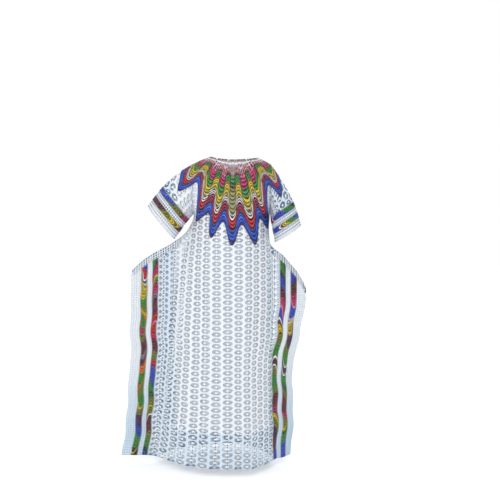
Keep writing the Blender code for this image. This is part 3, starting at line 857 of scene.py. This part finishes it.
def parts_of(tree, vector):
    first = add_node(tree, "SeparateXYZ", {0: vector})
    return [Value(socket) for socket in first.socket.node.outputs]


def uv_parts(tree, uv_map):
    return parts_of(tree, add_node(tree, "UVMap", uv_map=uv_map))[:2]


def object_place(tree):
    return add_node(tree, "TexCoord", output="Object")


def mixed(share, first, second):
    """Runs from the first colour to the second as the share rises."""
    tree = next(v.tree for v in (share, first, second) if isinstance(v, Value))
    return add_node(tree, "Mix", {0: share, 6: first, 7: second}, output=2, data_type="RGBA")


def threads(tree, spacing):
    """The height of a plain weave: crossed threads on object coordinates. spacing is in metres."""
    x, _, z = parts_of(tree, object_place(tree))
    return (z * (TURN / spacing)).sine() * (x * (TURN / spacing)).sine()


def finish_cloth(shader, colour, height, distance, strength=1.0):
    """Gives a cloth its colour, and its raised threads."""
    raised = {"Strength": strength, "Distance": distance, "Height": height}
    set_inputs(shader, {"Base Color": colour, "Normal": add_node(height.tree, "Bump", raised)})


def eyelet_lace(colour):
    """Embroidered cotton eyelet lace: thick matt thread round each hole stands up and catches the light, and
    the fine net between them is a shade deeper."""
    material, tree, shader = new_cloth("eyelet lace, embroidered cotton", 0.78, 0.25)
    across, up = uv_parts(tree, "cloth")
    odd = abs(across.step("FLOOR")).step("MODULO", 2.0)
    x = across.fraction() - 0.5
    y = (odd * 0.5 + up).fraction() - 0.5
    oval = ((x / PETALS[0]).squared() + (y / PETALS[1]).squared()).step("SQRT")
    ring = abs(oval - 1.03).falling(0.04, 0.16)
    heart = oval.falling(0.30, 0.45)
    satin = ring.step("MAXIMUM", heart)
    net = ((x * (TURN * NET_THREADS[0])).sine() * (y * (TURN * NET_THREADS[1])).sine()).rising(-0.5, 0.6)
    stitches = (y.step("ARCTAN2", x) * EYELET_STITCHES).sine()
    height = satin * (stitches * 0.12 + 0.9) + net * (satin * -0.35 + 0.35)
    # Painted shade, not dyed thread: where no lining lies behind it, the lace is drawn bluer and its ties
    # deeper, for the shade that shows through it.
    spot_x, _, spot_z = parts_of(tree, object_place(tree))
    beside = spot_x.rising(*SHADE_LEFT).step("MAXIMUM", spot_x.falling(*SHADE_RIGHT))
    unlined_shade = beside.step("MAXIMUM", spot_z.falling(LINING_HEM - 0.010, LINING_HEM + 0.004))
    ground = mixed(net, linear("#DDE4EE"), linear("#EEF2F8"))
    ground = mixed(unlined_shade, ground, mixed(net, linear("#BDD3E4"), linear("#DCE8F2")))
    petal_shade = mixed(unlined_shade, linear("#C6CFDB"), linear("#54799A"))
    # Painted shade: round the petal holes the lace is drawn grey over the lining and deep blue where none lies
    # behind, for the shade seen through the holes.
    petals = oval.falling(0.98, 1.06) * (1.0 - heart)
    shown = mixed(petals, mixed(satin, ground, (*colour, 1)), petal_shade)
    finish_cloth(shader, shown, height, 0.0009)
    return material


def grid_lace():
    """Cotton grid lace, crocheted: round threads between square holes, with knots where they cross."""
    material, tree, shader = new_cloth("grid lace, crocheted cotton", 0.80, 0.25)
    across, up = uv_parts(tree, "cloth")
    hole = ((across.fraction() - 0.5).squared() + (up.fraction() - 0.5).squared()).step("SQRT")
    cord = hole.rising(0.30, 0.46)
    # Painted shade, not dyed thread: the lower end of the wings is drawn bluer.
    low = parts_of(tree, object_place(tree))[2].falling(*SHADE_LOW)
    twist = ((across + up) * (TURN * CORD_TWISTS)).sine()
    thread = mixed(low, linear("#F0F5FA"), linear("#C6DFF0"))
    # Painted shade: the thread's edge round each hole is drawn dark blue, for the shade seen through the
    # holes.
    finish_cloth(shader, mixed(cord, linear("#5F84A8"), thread), twist * 0.14 + cord, 0.0010)
    return material


def lining_cloth():
    """Plain cotton lawn, bleached: smooth and matt, with hardly any nap."""
    material, tree, shader = new_cloth("lining, cotton lawn", 0.82, 0.12)
    weave = threads(tree, LAWN_THREADS)
    shown = mixed(weave.rising(-1.0, 1.0), linear("#EEF0F5"), linear("#F4F6F9"))
    finish_cloth(shader, shown, weave, 0.0002, 0.6)
    return material


def dots(tree, spacing):
    """1 on small round dots about this far apart, in metres."""
    settings = {"Vector": object_place(tree), "Scale": 1 / spacing, "Randomness": 0.35}
    return add_node(tree, "TexVoronoi", settings, output="Distance").falling(0.16, 0.30)


def noise(tree, scale, detail):
    return add_node(tree, "TexNoise", {"Vector": object_place(tree), "Scale": scale, "Detail": detail})


def wobble(tree, amount, size=0.03):
    return (noise(tree, 1 / size, 2.0) - 0.5) * amount


def with_lines(shown, place, count, edge, share=1.0):
    """A print with dark lines across it, and a faint light line midway between them."""
    dark = place.lines(count, *edge) * 0.94 * share
    light = (place + 0.5 / count).lines(count, 0.05, 0.12) * 0.14
    return mixed(light, mixed(dark, shown, linear(PALETTE["black"])), linear(PALETTE["white"]))


def finish_print(tree, shader, colour):
    """A print on plain cotton: slightly uneven dye, and a close weave under it."""
    worn = noise(tree, 55.0, 3.0).rising(0.35, 0.75)
    faded = mixed(0.04, colour, linear("#E8E2E4"))
    finish_cloth(shader, mixed(worn, colour, faded), threads(tree, PRINT_THREADS), 0.00018, 0.7)


def sunburst_print(settings):
    """Wax-printed cotton in a sunburst: zones of strong colour that repeat the scalloped edge inwards."""
    material, tree, shader = new_cloth("printed cotton, sunburst", settings.roughness, 0.0, PRINT_IOR)
    phase, reach = uv_parts(tree, "print")
    out = reach + wobble(tree, 0.035)
    centre = add_node(tree, "Attribute", output="Fac", attribute_name="centre", attribute_type="GEOMETRY")
    in_valley = phase > 0.5
    ray, valley, middle = [out.zones(named_numbers(text)) for text in (RAY_ZONES, VALLEY_ZONES, CENTRE_ZONES)]
    zones = mixed((centre > 0.5) * (1.0 - in_valley), mixed(in_valley, ray, valley), middle)
    # Dark lines repeat the scallops, and sharpen to chevrons towards each tip and valley.
    from_middle = abs(phase - 0.5)
    zones = with_lines(zones, from_middle * 0.05 + out, YOKE_LINES, (0.12, 0.21), out.rising(0.12, 0.26))
    # Radial lines part the petals, and fade where the scallops take over.
    spoke = from_middle.falling(0.04, 0.13) * out.falling(0.42, 0.62) * 0.85
    zones = mixed(spoke, zones, linear("#2B2026"))
    stripe = phase.lines(3.0, 0.10, 0.20) * out.falling(0.10, 0.26)
    zones = mixed(stripe, zones, linear("#D9D2D6"))
    speckle = dots(tree, 0.007) * ((out < 0.58) * 0.22)
    finish_print(tree, shader, mixed(speckle, zones, linear(PALETTE["pink"])))
    return material


def band_print(name, text, length, settings, lean):
    """Wax-printed cotton cut into a band: short zones of colour crossed by dark lines that bow."""
    title = f"printed cotton, {name} band"
    material, tree, shader = new_cloth(title, settings.roughness, 0.0, PRINT_IOR)
    across, along = uv_parts(tree, "print")
    off = across - 0.5
    # The bows' tops wander from edge to edge down the band, so that some lines slant and others arch.
    drift = add_node(tree, "TexNoise", {"W": along * 6.0, "Scale": 1.0}, noise_dimensions="1D")
    from_top = off - (drift * 2.6 - 1.3)
    place = along + from_top * from_top * (1.1 * lean) + wobble(tree, 0.014)
    table = named_numbers(text)
    total = sum(size for _, size in table) / 1000
    zones, start = [], 0.0
    for colour, size in table:
        zones.append((colour, start / total))
        start += size / 1000
    shown = (place / max(length, total)).zones(zones)
    shown = with_lines(shown, place, 1 / settings.line, (0.13, 0.22))
    shown = mixed(dots(tree, 0.008) * 0.14, shown, linear(PALETTE["orange"]))
    # A line of small stitches holds each edge down.
    edge = abs(abs(off) - 0.44)
    stitch = (edge < 0.018) * ((along * (1 / BAND_STITCH)).fraction() < 0.62)
    finish_print(tree, shader, mixed(stitch * 0.7, shown, linear("#E9E4DC")))
    return material


def material_once(name, make, *facts):
    """A material that several pieces share is made for the first of them."""
    if name not in CACHE:
        CACHE[name] = make(*facts)
    return CACHE[name]


def band_finish(name, colours, length, settings, lean):
    return material_once(f"{name} band", band_print, name, colours, length, settings, lean)


def away(layer):
    return lambda point: Vector((0, LAYERS[layer], 0))


def cut_area(cells, place):
    """The cloth's area with its openwork closed, as a maker cuts it, from the places its mesh is made of."""
    total = 0.0
    for _, across, up in cells:
        a, b, c, d = [place(across + i / 2, up + j / 2) for i, j in ((-1, -1), (1, -1), (1, 1), (-1, 1))]
        total += (c - a).cross(d - b).length / 2
    return total


def sleeve_girth(side, share):
    """The way round the sleeve's cloth, this share of the way from the armhole to the cuff."""
    ring = [sleeve_point(side, share, TURN * k / 90) for k in range(90)]
    return sum((a - b).length for a, b in zip(ring, ring[1:] + ring[:1]))


# Pieces
def make_eyelet_panel(layer, settings):
    """The back or front of eyelet lace: body and wings in to the borders' seams, with armholes and neck."""
    columns = {side: round(seam_arc(side, layer, CORNER[side]) / settings.eyelet_pitch) for side in SIDES}
    row = settings.eyelet_row

    def arc_of(side, across, height):
        return abs(across) / columns[side] * seam_arc(side, layer, height)

    def place(across, up):
        side = "left" if across >= 0 else "right"
        height = max(HEM, HEM + up * row)
        arc = arc_of(side, across, height)
        if height <= UNDERARM:
            level = section(side, layer, height)
            return body_point(side, layer, level.x_at(min(arc, level.width)), height)
        x = section(side, layer, UNDERARM).x_at(arc)
        return shoulder_point(side, layer, x, min(height, panel_top(side, layer, x)))

    def limits(side, across, height):
        """How far inside the cloth a place is, across and up, in metres."""
        arc = arc_of(side, across, height)
        if height <= UNDERARM:
            return section(side, layer, height).width - arc, 1.0
        level = section(side, layer, UNDERARM)
        x = level.x_at(min(arc, level.width))
        return level.width - arc, panel_top(side, layer, x) - height

    def kind(column, middle):
        side = "left" if column >= 0 else "right"
        spots = [(column + i, middle + j) for i in (0, 1) for j in (-0.5, 0, 0.5)]
        room = [limits(side, spot[0], HEM + spot[1] * row) for spot in spots]
        if all(min(r) <= EDGE for r in room):
            return None
        height = HEM + middle * row
        if min(min(r) for r in room) < 0 or middle < 0.5:
            return "plain"
        if height > YOKE_LOWEST:
            arc = arc_of(side, column + 0.5, height)
            x = section(side, layer, UNDERARM).x_at(arc)
            across = section(side, layer, CAP_FOOT).arc_at(x)
            if under_yoke(across * SIDES[side], cap_end(side, layer, x) - height, UNDER_YOKE["panel"]):
                return "plain"
        return "eyelet"

    cells = []
    rows = int((0.12 - HEM) / row)
    for column in range(-columns["right"], columns["left"]):
        shift = 0.5 * (abs(math.floor(column)) % 2)
        for k in range(-1, rows):
            middle = k + 0.5 - shift
            if middle < -0.4:
                continue
            found = kind(column, middle)
            if found:
                cells.append((found, column + 0.5, middle))
    finish = material_once("eyelet lace", eyelet_lace, settings.colour)
    piece = lace_sheet(f"eyelet_{layer}", cells, place, away(layer), LACE_OUT, finish)
    width = sum(seam_arc(side, layer, HEM) for side in SIDES)
    hand_over(piece, f"{layer}_panel", area=cut_area(cells, place))
    return piece


class BOUBOU_OT_eyelet_panels(bpy.types.Operator):
    """Makes the back and front of eyelet lace"""

    bl_idname = "boubou.eyelet_panels"
    bl_label = "Eyelet lace back and front"

    def execute(self, context):
        for layer in LAYERS:
            make_eyelet_panel(layer, context.scene.boubou_lace)
        return {"FINISHED"}


class BOUBOU_OT_lining(bpy.types.Operator):
    """Makes the plain slip that shows through the lace"""

    bl_idname = "boubou.lining"
    bl_label = "Lining"

    def execute(self, context):
        levels = (LINING_TOP, LINING_BEND, LINING_HEM)
        columns = evenly(-1, 1, LINING_COLUMNS)
        rows = evenly(LINING_HEM, LINING_TOP, LINING_ROWS)
        finish = material_once("lining", lining_cloth)
        for layer in LAYERS:

            def place(share, height, layer=layer):
                side = "left" if share >= 0 else "right"
                edge = float(np.interp(-height, [-z for z in levels], LINING_REACH[side]))
                x = abs(share) * edge
                level = section(side, layer, height)
                middle = float(np.interp(x, level.x, level.middle))
                end = float(np.interp(edge, level.x, level.middle))
                middle += (end - middle) * abs(share) ** 3
                round_off = math.sqrt(max(0.0, 1 - abs(share) ** 6))
                depth = (abs(level.y_at(x) - middle) - LINING_CLEAR) * round_off
                return Vector((SIDES[side] * x, middle + LAYERS[layer] * max(depth, LINING_DEPTH), height))

            piece = cloth_sheet(
                f"lining_{layer}", columns, rows, place,
                lambda c, r: (c / len(columns), r / len(rows)), away(layer), 0.0, LINING_WALL, finish,
            )
            hand_over(piece, f"{layer}_lining")
        return {"FINISHED"}


def make_border(layer, side, settings):
    """A side border of grid lace: holes at its outer edge and between its bands, closed cloth under them."""
    pitch = settings.grid_pitch
    outer, inner = SIDE_BANDS["outer"], SIDE_BANDS["inner"]
    zones = (
        ("grid", 0.0, outer[0], 4), ("solid", *outer, 3),
        ("grid", outer[1], inner[0], 2), ("solid", inner[0], SIDE_BORDER, 3),
    )
    rows = round((border_top(side, layer, SIDE_BORDER) - HEM) / pitch)
    lines, kinds = [0.0], []
    for kind, start, end, count in zones:
        lines += [start + (end - start) * (k + 1) / count for k in range(count)]
        kinds += [kind] * count

    def place(across, up):
        k = min(int(across), len(kinds) - 1)
        inward = lines[k] + (lines[k + 1] - lines[k]) * (across - k)
        if inward < EDGE:
            inward += SCALLOPS["side"] * (round(up) % 2)
        return border_point(side, layer, inward, HEM + up * pitch)

    cells = []
    for k, kind in enumerate(kinds):
        tops = [border_top(side, layer, line) for line in lines[k : k + 2]]
        for r in range(rows + 1):
            if HEM + r * pitch > max(tops) - 0.001:
                break
            whole = HEM + (r + 1) * pitch <= min(tops)
            cells.append((kind if whole else "solid", k + 0.5, r + 0.5))
    finish = material_once("grid lace", grid_lace)
    piece = lace_sheet(f"border_{layer}_{side}", cells, place, away(layer), LACE_OUT, finish)
    length = border_top(side, layer, SIDE_BORDER) - HEM
    hand_over(piece, f"{layer}_{side}_border")
    return piece


def make_side_bands(layer, side, settings):
    for name, (start, end) in SIDE_BANDS.items():
        columns = evenly(start, end, SIDE_BAND_COLUMNS)
        length = border_top(side, layer, (start + end) / 2) - HEM
        rows = evenly(0, 1, SIDE_BAND_ROWS)

        def place(inward, share):
            top = border_top(side, layer, inward)
            return border_point(side, layer, inward, HEM + share * (top - HEM))

        colours, lean = SIDE_PRINTS[f"{side}_{name}"], BAND_LEANS[name]
        finish = band_finish(f"{side} {name}", colours, length, settings, lean)
        piece = cloth_sheet(
            f"band_{layer}_{side}_{name}", columns, rows, place,
            lambda c, r: (c / SIDE_BAND_COLUMNS, (1 - r / SIDE_BAND_ROWS) * length),
            away(layer), BAND_OUT, PRINT_WALL, finish,
        )
        hand_over(piece, f"{layer}_{side}_band_{name}")


def make_opening_trim(layer, side, settings):
    """Grid lace along the slanting opening, from near the underarm out to the held corner."""
    pitch = settings.grid_pitch
    first = TRIM_START[side]
    last = section(side, layer, CORNER[side]).edge - TRIM_CORNER_GAP
    spans = round((last - first) / pitch)
    rows = 3

    def place(across, down):
        x = first + (last - first) * across / spans
        top = opening_height(side, layer, x) - 0.0006
        return body_point(side, layer, x, top + down * OPENING_TRIM / rows)

    cells = [("grid", k + 0.5, -r - 0.5) for k in range(spans) for r in range(rows)]
    finish = material_once("grid lace", grid_lace)
    piece = lace_sheet(f"trim_{layer}_{side}", cells, place, away(layer), TRIM_OUT, finish)
    length = math.hypot(last - first, opening_height(side, layer, first) - opening_height(side, layer, last))
    width = OPENING_TRIM * (last - first) / length  # across the slant
    hand_over(piece, f"{layer}_{side}_opening_trim")


class BOUBOU_OT_side_borders(bpy.types.Operator):
    """Makes the side borders of grid lace, their printed bands and the trim of the slanting openings"""

    bl_idname = "boubou.side_borders"
    bl_label = "Side borders, bands and opening trims"

    def execute(self, context):
        for layer in LAYERS:
            for side in SIDES:
                border = make_border(layer, side, context.scene.boubou_lace)
                make_side_bands(layer, side, context.scene.boubou_print)
                make_opening_trim(layer, side, context.scene.boubou_lace)
        return {"FINISHED"}


def outward_of_sleeve(side):
    """The way out of a sleeve's tube at a point."""
    ends = [(sleeve_point(side, along, 0) + sleeve_point(side, along, math.pi)) / 2 for along in (0.0, 1.0)]
    axis = (ends[1] - ends[0]).normalized()

    def outward(point):
        away_from = point - ends[0]
        return away_from - axis * away_from.dot(axis)

    return outward


@kept
def sleeve_measures(side):
    """A sleeve's mean length with its border, and the way round its lace and round its border."""
    mean = sum(sleeve_length(side, TURN * k / 8) for k in range(8)) / 8
    girth = sleeve_girth(side, 0.5 * (1 - SLEEVE_BORDER / mean))
    return mean, girth, sleeve_girth(side, 1 - 0.5 * SLEEVE_BORDER / mean)


def point_from_cuff(side, turn, distance):
    return sleeve_point(side, 1 - distance / sleeve_length(side, turn), turn)


def make_sleeve(side, lace):
    """A short eyelet sleeve, down to its border: an open tube."""
    mean, girth, _ = sleeve_measures(side)
    rows = round((mean - SLEEVE_BORDER) / lace.eyelet_row)

    def place(across, along):
        turn = TURN * (across % SLEEVE_CELLS) / SLEEVE_CELLS
        share = min(max(along / rows, 0.0), 1.0)
        return sleeve_point(side, share * (1 - SLEEVE_BORDER / sleeve_length(side, turn)), turn)

    def covered(across, along):
        turn = TURN * across / SLEEVE_CELLS
        turn = turn if turn <= math.pi else turn - TURN
        turns, arcs = arm_oval()
        down = math.copysign(float(np.interp(abs(turn), turns, arcs)), turn)
        level = section(side, "back" if turn >= 0 else "front", CAP_FOOT)
        across = level.width + along / rows * (mean - SLEEVE_BORDER)
        return under_yoke(across, down, UNDER_YOKE["sleeve"])

    cells = []
    for column in range(SLEEVE_CELLS):
        shift = 0.5 * (column % 2)
        for k in range(rows + 1):
            middle = k + 0.5 - shift
            if middle - 0.5 >= rows:
                continue
            plain = middle < 0.5 or middle > rows - 0.5 or covered(column + 0.5, middle)
            cells.append(("plain" if plain else "eyelet", column + 0.5, middle))
    finish = material_once("eyelet lace", eyelet_lace, lace.colour)
    piece = lace_sheet(f"sleeve_{side}", cells, place, outward_of_sleeve(side), LACE_OUT, finish)
    flat = (girth, mean - SLEEVE_BORDER)
    hand_over(piece, f"{side}_sleeve", area=cut_area(cells, place))


def make_sleeve_border(side, lace):
    """A sleeve's border of grid lace, with closed cloth under its two bands."""
    _, girth, cuff_girth = sleeve_measures(side)
    holes = round(girth / lace.grid_pitch)
    outer, inner = SLEEVE_BANDS["outer"], SLEEVE_BANDS["inner"]
    lines = [0.0, 0.012, 0.024, *outer, (outer[1] + inner[0]) / 2, inner[0], SLEEVE_BORDER - 0.0008]
    kinds = ["grid", "grid", "grid", "solid", "grid", "grid", "solid"]

    def place(across, from_cuff):
        k = min(int(from_cuff), len(kinds) - 1)
        distance = lines[k] + (lines[k + 1] - lines[k]) * (from_cuff - k)
        if distance < EDGE:
            distance += SCALLOPS["cuff"] * (round(across) % 2)
        return point_from_cuff(side, TURN * (across % holes) / holes, distance)

    cells = [(kind, c + 0.5, k + 0.5) for k, kind in enumerate(kinds) for c in range(holes)]
    finish = material_once("grid lace", grid_lace)
    piece = lace_sheet(f"cuff_{side}", cells, place, outward_of_sleeve(side), LACE_OUT, finish)
    hand_over(piece, f"{side}_sleeve_border", area=cut_area(cells, place))
    return piece


def make_sleeve_bands(side, prints):
    _, girth, cuff_girth = sleeve_measures(side)
    turns = [TURN * k / SLEEVE_BAND_STEPS for k in range(SLEEVE_BAND_STEPS)]
    for name, (start, end) in SLEEVE_BANDS.items():
        colours, lean = SLEEVE_PRINTS[f"{side}_{name}"], BAND_LEANS["sleeve"]
        finish = band_finish(f"{side} sleeve {name}", colours, girth, prints, lean)
        piece = cloth_sheet(
            f"sleeve_band_{side}_{name}", turns, evenly(start, end, SLEEVE_BAND_ROWS),
            lambda turn, distance: point_from_cuff(side, turn, distance),
            lambda c, r: (r / SLEEVE_BAND_ROWS, c / SLEEVE_BAND_STEPS * girth),
            outward_of_sleeve(side), BAND_OUT, PRINT_WALL, finish, ring=True,
        )
        hand_over(piece, f"{side}_sleeve_band_{name}")


class BOUBOU_OT_sleeves(bpy.types.Operator):
    """Makes both sleeves with their borders and printed bands"""

    bl_idname = "boubou.sleeves"
    bl_label = "Sleeves"

    def execute(self, context):
        for side in SIDES:
            make_sleeve(side, context.scene.boubou_lace)
            border = make_sleeve_border(side, context.scene.boubou_lace)
            make_sleeve_bands(side, context.scene.boubou_print)
        return {"FINISHED"}


def neckline_radius(angle):
    """How far the neckline is from the shoulder line's middle on the flat cloth, at this angle."""
    low, high = 0.0, 0.20
    for _ in range(16):
        radius = (low + high) / 2
        point = flat_point(*polar(radius, angle))
        reach = NECK_REACH["back" if math.sin(angle) >= 0 else "front"]
        inside = (point.x / NECK_X) ** 2 + (point.y / reach) ** 2 < 1
        low, high = (radius, high) if inside else (low, radius)
    return (low + high) / 2


def yoke_angles(spacing):
    """Angles all round, at even steps along the scalloped edge."""
    fine = [k / 4 for k in range(721)]
    edge = [polar(yoke_radius(a), math.radians(a)) for a in fine]
    steps = [math.dist(a, b) for a, b in zip(edge, edge[1:])]
    along = np.concatenate([[0], np.cumsum(steps)])
    count = round(along[-1] / spacing)
    back = [float(np.interp(along[-1] * k / count, along, fine)) for k in range(count + 1)]
    return back + [360 - a for a in reversed(back[1:-1])]


class BOUBOU_OT_yoke(bpy.types.Operator):
    """Makes the sunburst print yoke and the binding round the neck"""

    bl_idname = "boubou.yoke"
    bl_label = "Sunburst yoke and neck binding"

    def execute(self, context):
        angles = yoke_angles(YOKE_STEP)
        start = dict(zip(angles, smoothed([neckline_radius(math.radians(a)) for a in angles])))
        rows = evenly(0, 1, YOKE_ROWS)
        marks_at = sorted([(a, 0.0) for a in YOKE_TIPS] + [(a, 1.0) for a in YOKE_VALLEYS])
        phases = [float(np.interp(folded(a), *zip(*marks_at))) for a in angles]
        centre = [1.0 if CENTRE_RAY[0] < folded(a) < CENTRE_RAY[1] else 0.0 for a in angles]

        def place(angle, share):
            inner = start[angle] + NECK_CLEAR + BINDING
            radius = inner + share * (yoke_radius(angle) - inner)
            return flat_point(*polar(radius, math.radians(angle)))

        def outward(point):
            return point - YOKE_MIDDLE

        finish = material_once("sunburst", sunburst_print, context.scene.boubou_print)
        piece = cloth_sheet(
            "sunburst_yoke", angles, rows, place, lambda c, r: (phases[c % len(phases)], rows[r]),
            outward, YOKE_OUT, PRINT_WALL, finish, ring=True, marks=centre,
        )
        flat_area = sum(
            (yoke_radius(a) ** 2 - (start[a] + BINDING) ** 2) / 2 * math.radians(((b - a) % 360))
            for a, b in zip(angles, angles[1:] + angles[:1])
        )
        hand_over(piece, "yoke", flat_area)

        def binding_place(angle, across):
            radius = start[angle] + NECK_CLEAR + across
            return flat_point(*polar(radius, math.radians(angle)))

        length = TURN * NECK_MEAN_RADIUS
        finish = band_finish("neck", NECK_PRINT * 5, length, context.scene.boubou_print, 0.0)
        ring = angles[::3]
        piece = cloth_sheet(
            "neck_edge", ring, [0.0, 0.003, 0.006, BINDING], binding_place,
            lambda c, r: (r / 3, min(c, len(ring)) / len(ring) * length), outward, YOKE_OUT, BINDING_WALL,
            finish, ring=True,
        )
        hand_over(piece, "neck_binding")
        return {"FINISHED"}


def folded(angle):
    """The angle on the back that an angle all round is like."""
    return angle if angle <= 180 else 360 - angle


def smoothed(values):
    """Evens out small steps between neighbours all round."""
    wide = values[-2:] + values + values[:2]
    return [sum(wide[k : k + 5]) / 5 for k in range(len(values))]


class BOUBOU_OT_stage(bpy.types.Operator):
    """Makes the pale floor, the soft lights and the camera"""

    bl_idname = "boubou.stage"
    bl_label = "Floor, lights and camera"

    def execute(self, context):
        bpy.ops.object.select_all(action="DESELECT")
        bpy.ops.mesh.primitive_circle_add(
            vertices=96, radius=FLOOR_RADIUS, fill_type="NGON", location=(0, 0, HEM - FLOOR_GAP),
        )
        floor = context.object
        floor.name = "floor"
        bpy.ops.object.transform_apply(location=True, rotation=True, scale=True)
        material, _, shader = new_material("studio floor, matt paint")
        set_inputs(shader, {
            "Base Color": linear("#EDEFF2"), "Roughness": 1.0, "Specular IOR Level": 0.0,
            "Emission Color": linear("#FFFFFF"), "Emission Strength": FLOOR_GLOW,
        })
        floor.data.materials.append(material)
        for name, place, size, power, colour in LIGHTS:
            bpy.ops.object.light_add(type="AREA", location=place)
            lamp = context.object
            lamp.name = name
            lamp.data.shape = "DISK"
            lamp.data.size = size
            lamp.data.energy = power
            lamp.data.color = linear(colour)[:3]
            aim(lamp, Vector((0, 0, -0.6)))
        world = context.scene.world or bpy.data.worlds.new("studio")
        context.scene.world = world
        world.use_nodes = True
        sky = world.node_tree.nodes["Background"]
        set_inputs(sky, {"Color": linear("#FFFFFF"), "Strength": WORLD_LIGHT})
        context.scene.view_settings.view_transform = "Standard"
        bpy.ops.object.camera_add(location=CAMERA_PLACE)
        camera = context.object
        camera.data.lens = CAMERA_LENS
        camera.data.sensor_width = 36.0
        aim(camera, Vector(CAMERA_AIM))
        context.scene.camera = camera
        return {"FINISHED"}


def aim(thing, target):
    """Turns a lamp or the camera to look at a point."""
    thing.rotation_euler = (target - thing.location).to_track_quat("-Z", "Y").to_euler()


class BOUBOU_PT_panel(bpy.types.Panel):
    """The robe's settings and steps"""

    bl_idname = "BOUBOU_PT_panel"
    bl_label = "Grand boubou"
    bl_space_type = "VIEW_3D"
    bl_region_type = "UI"
    bl_category = "Boubou"

    def draw(self, context):
        layout = self.layout
        for group in (context.scene.boubou_lace, context.scene.boubou_folds, context.scene.boubou_print):
            box = layout.box()
            for name in group.bl_rna.properties.keys():
                if name not in ("rna_type", "name"):
                    box.prop(group, name)
        for step in STEPS:
            layout.operator(step.bl_idname)


STEPS = (
    BOUBOU_OT_stage, BOUBOU_OT_eyelet_panels, BOUBOU_OT_lining, BOUBOU_OT_side_borders, BOUBOU_OT_sleeves,
    BOUBOU_OT_yoke,
)
SETTINGS = (LaceSettings, FoldSettings, PrintSettings)
CLASSES = (*SETTINGS, *STEPS, BOUBOU_PT_panel)


def register():
    for kind in CLASSES:
        bpy.utils.register_class(kind)
    bpy.types.Scene.boubou_lace = PointerProperty(type=LaceSettings)
    bpy.types.Scene.boubou_folds = PointerProperty(type=FoldSettings)
    bpy.types.Scene.boubou_print = PointerProperty(type=PrintSettings)


def unregister():
    del bpy.types.Scene.boubou_print
    del bpy.types.Scene.boubou_folds
    del bpy.types.Scene.boubou_lace
    for kind in reversed(CLASSES):
        bpy.utils.unregister_class(kind)


def main():
    register()
    for step in STEPS:
        family, name = step.bl_idname.split(".")
        getattr(getattr(bpy.ops, family), name)()


if __name__ == "__main__":
    main()
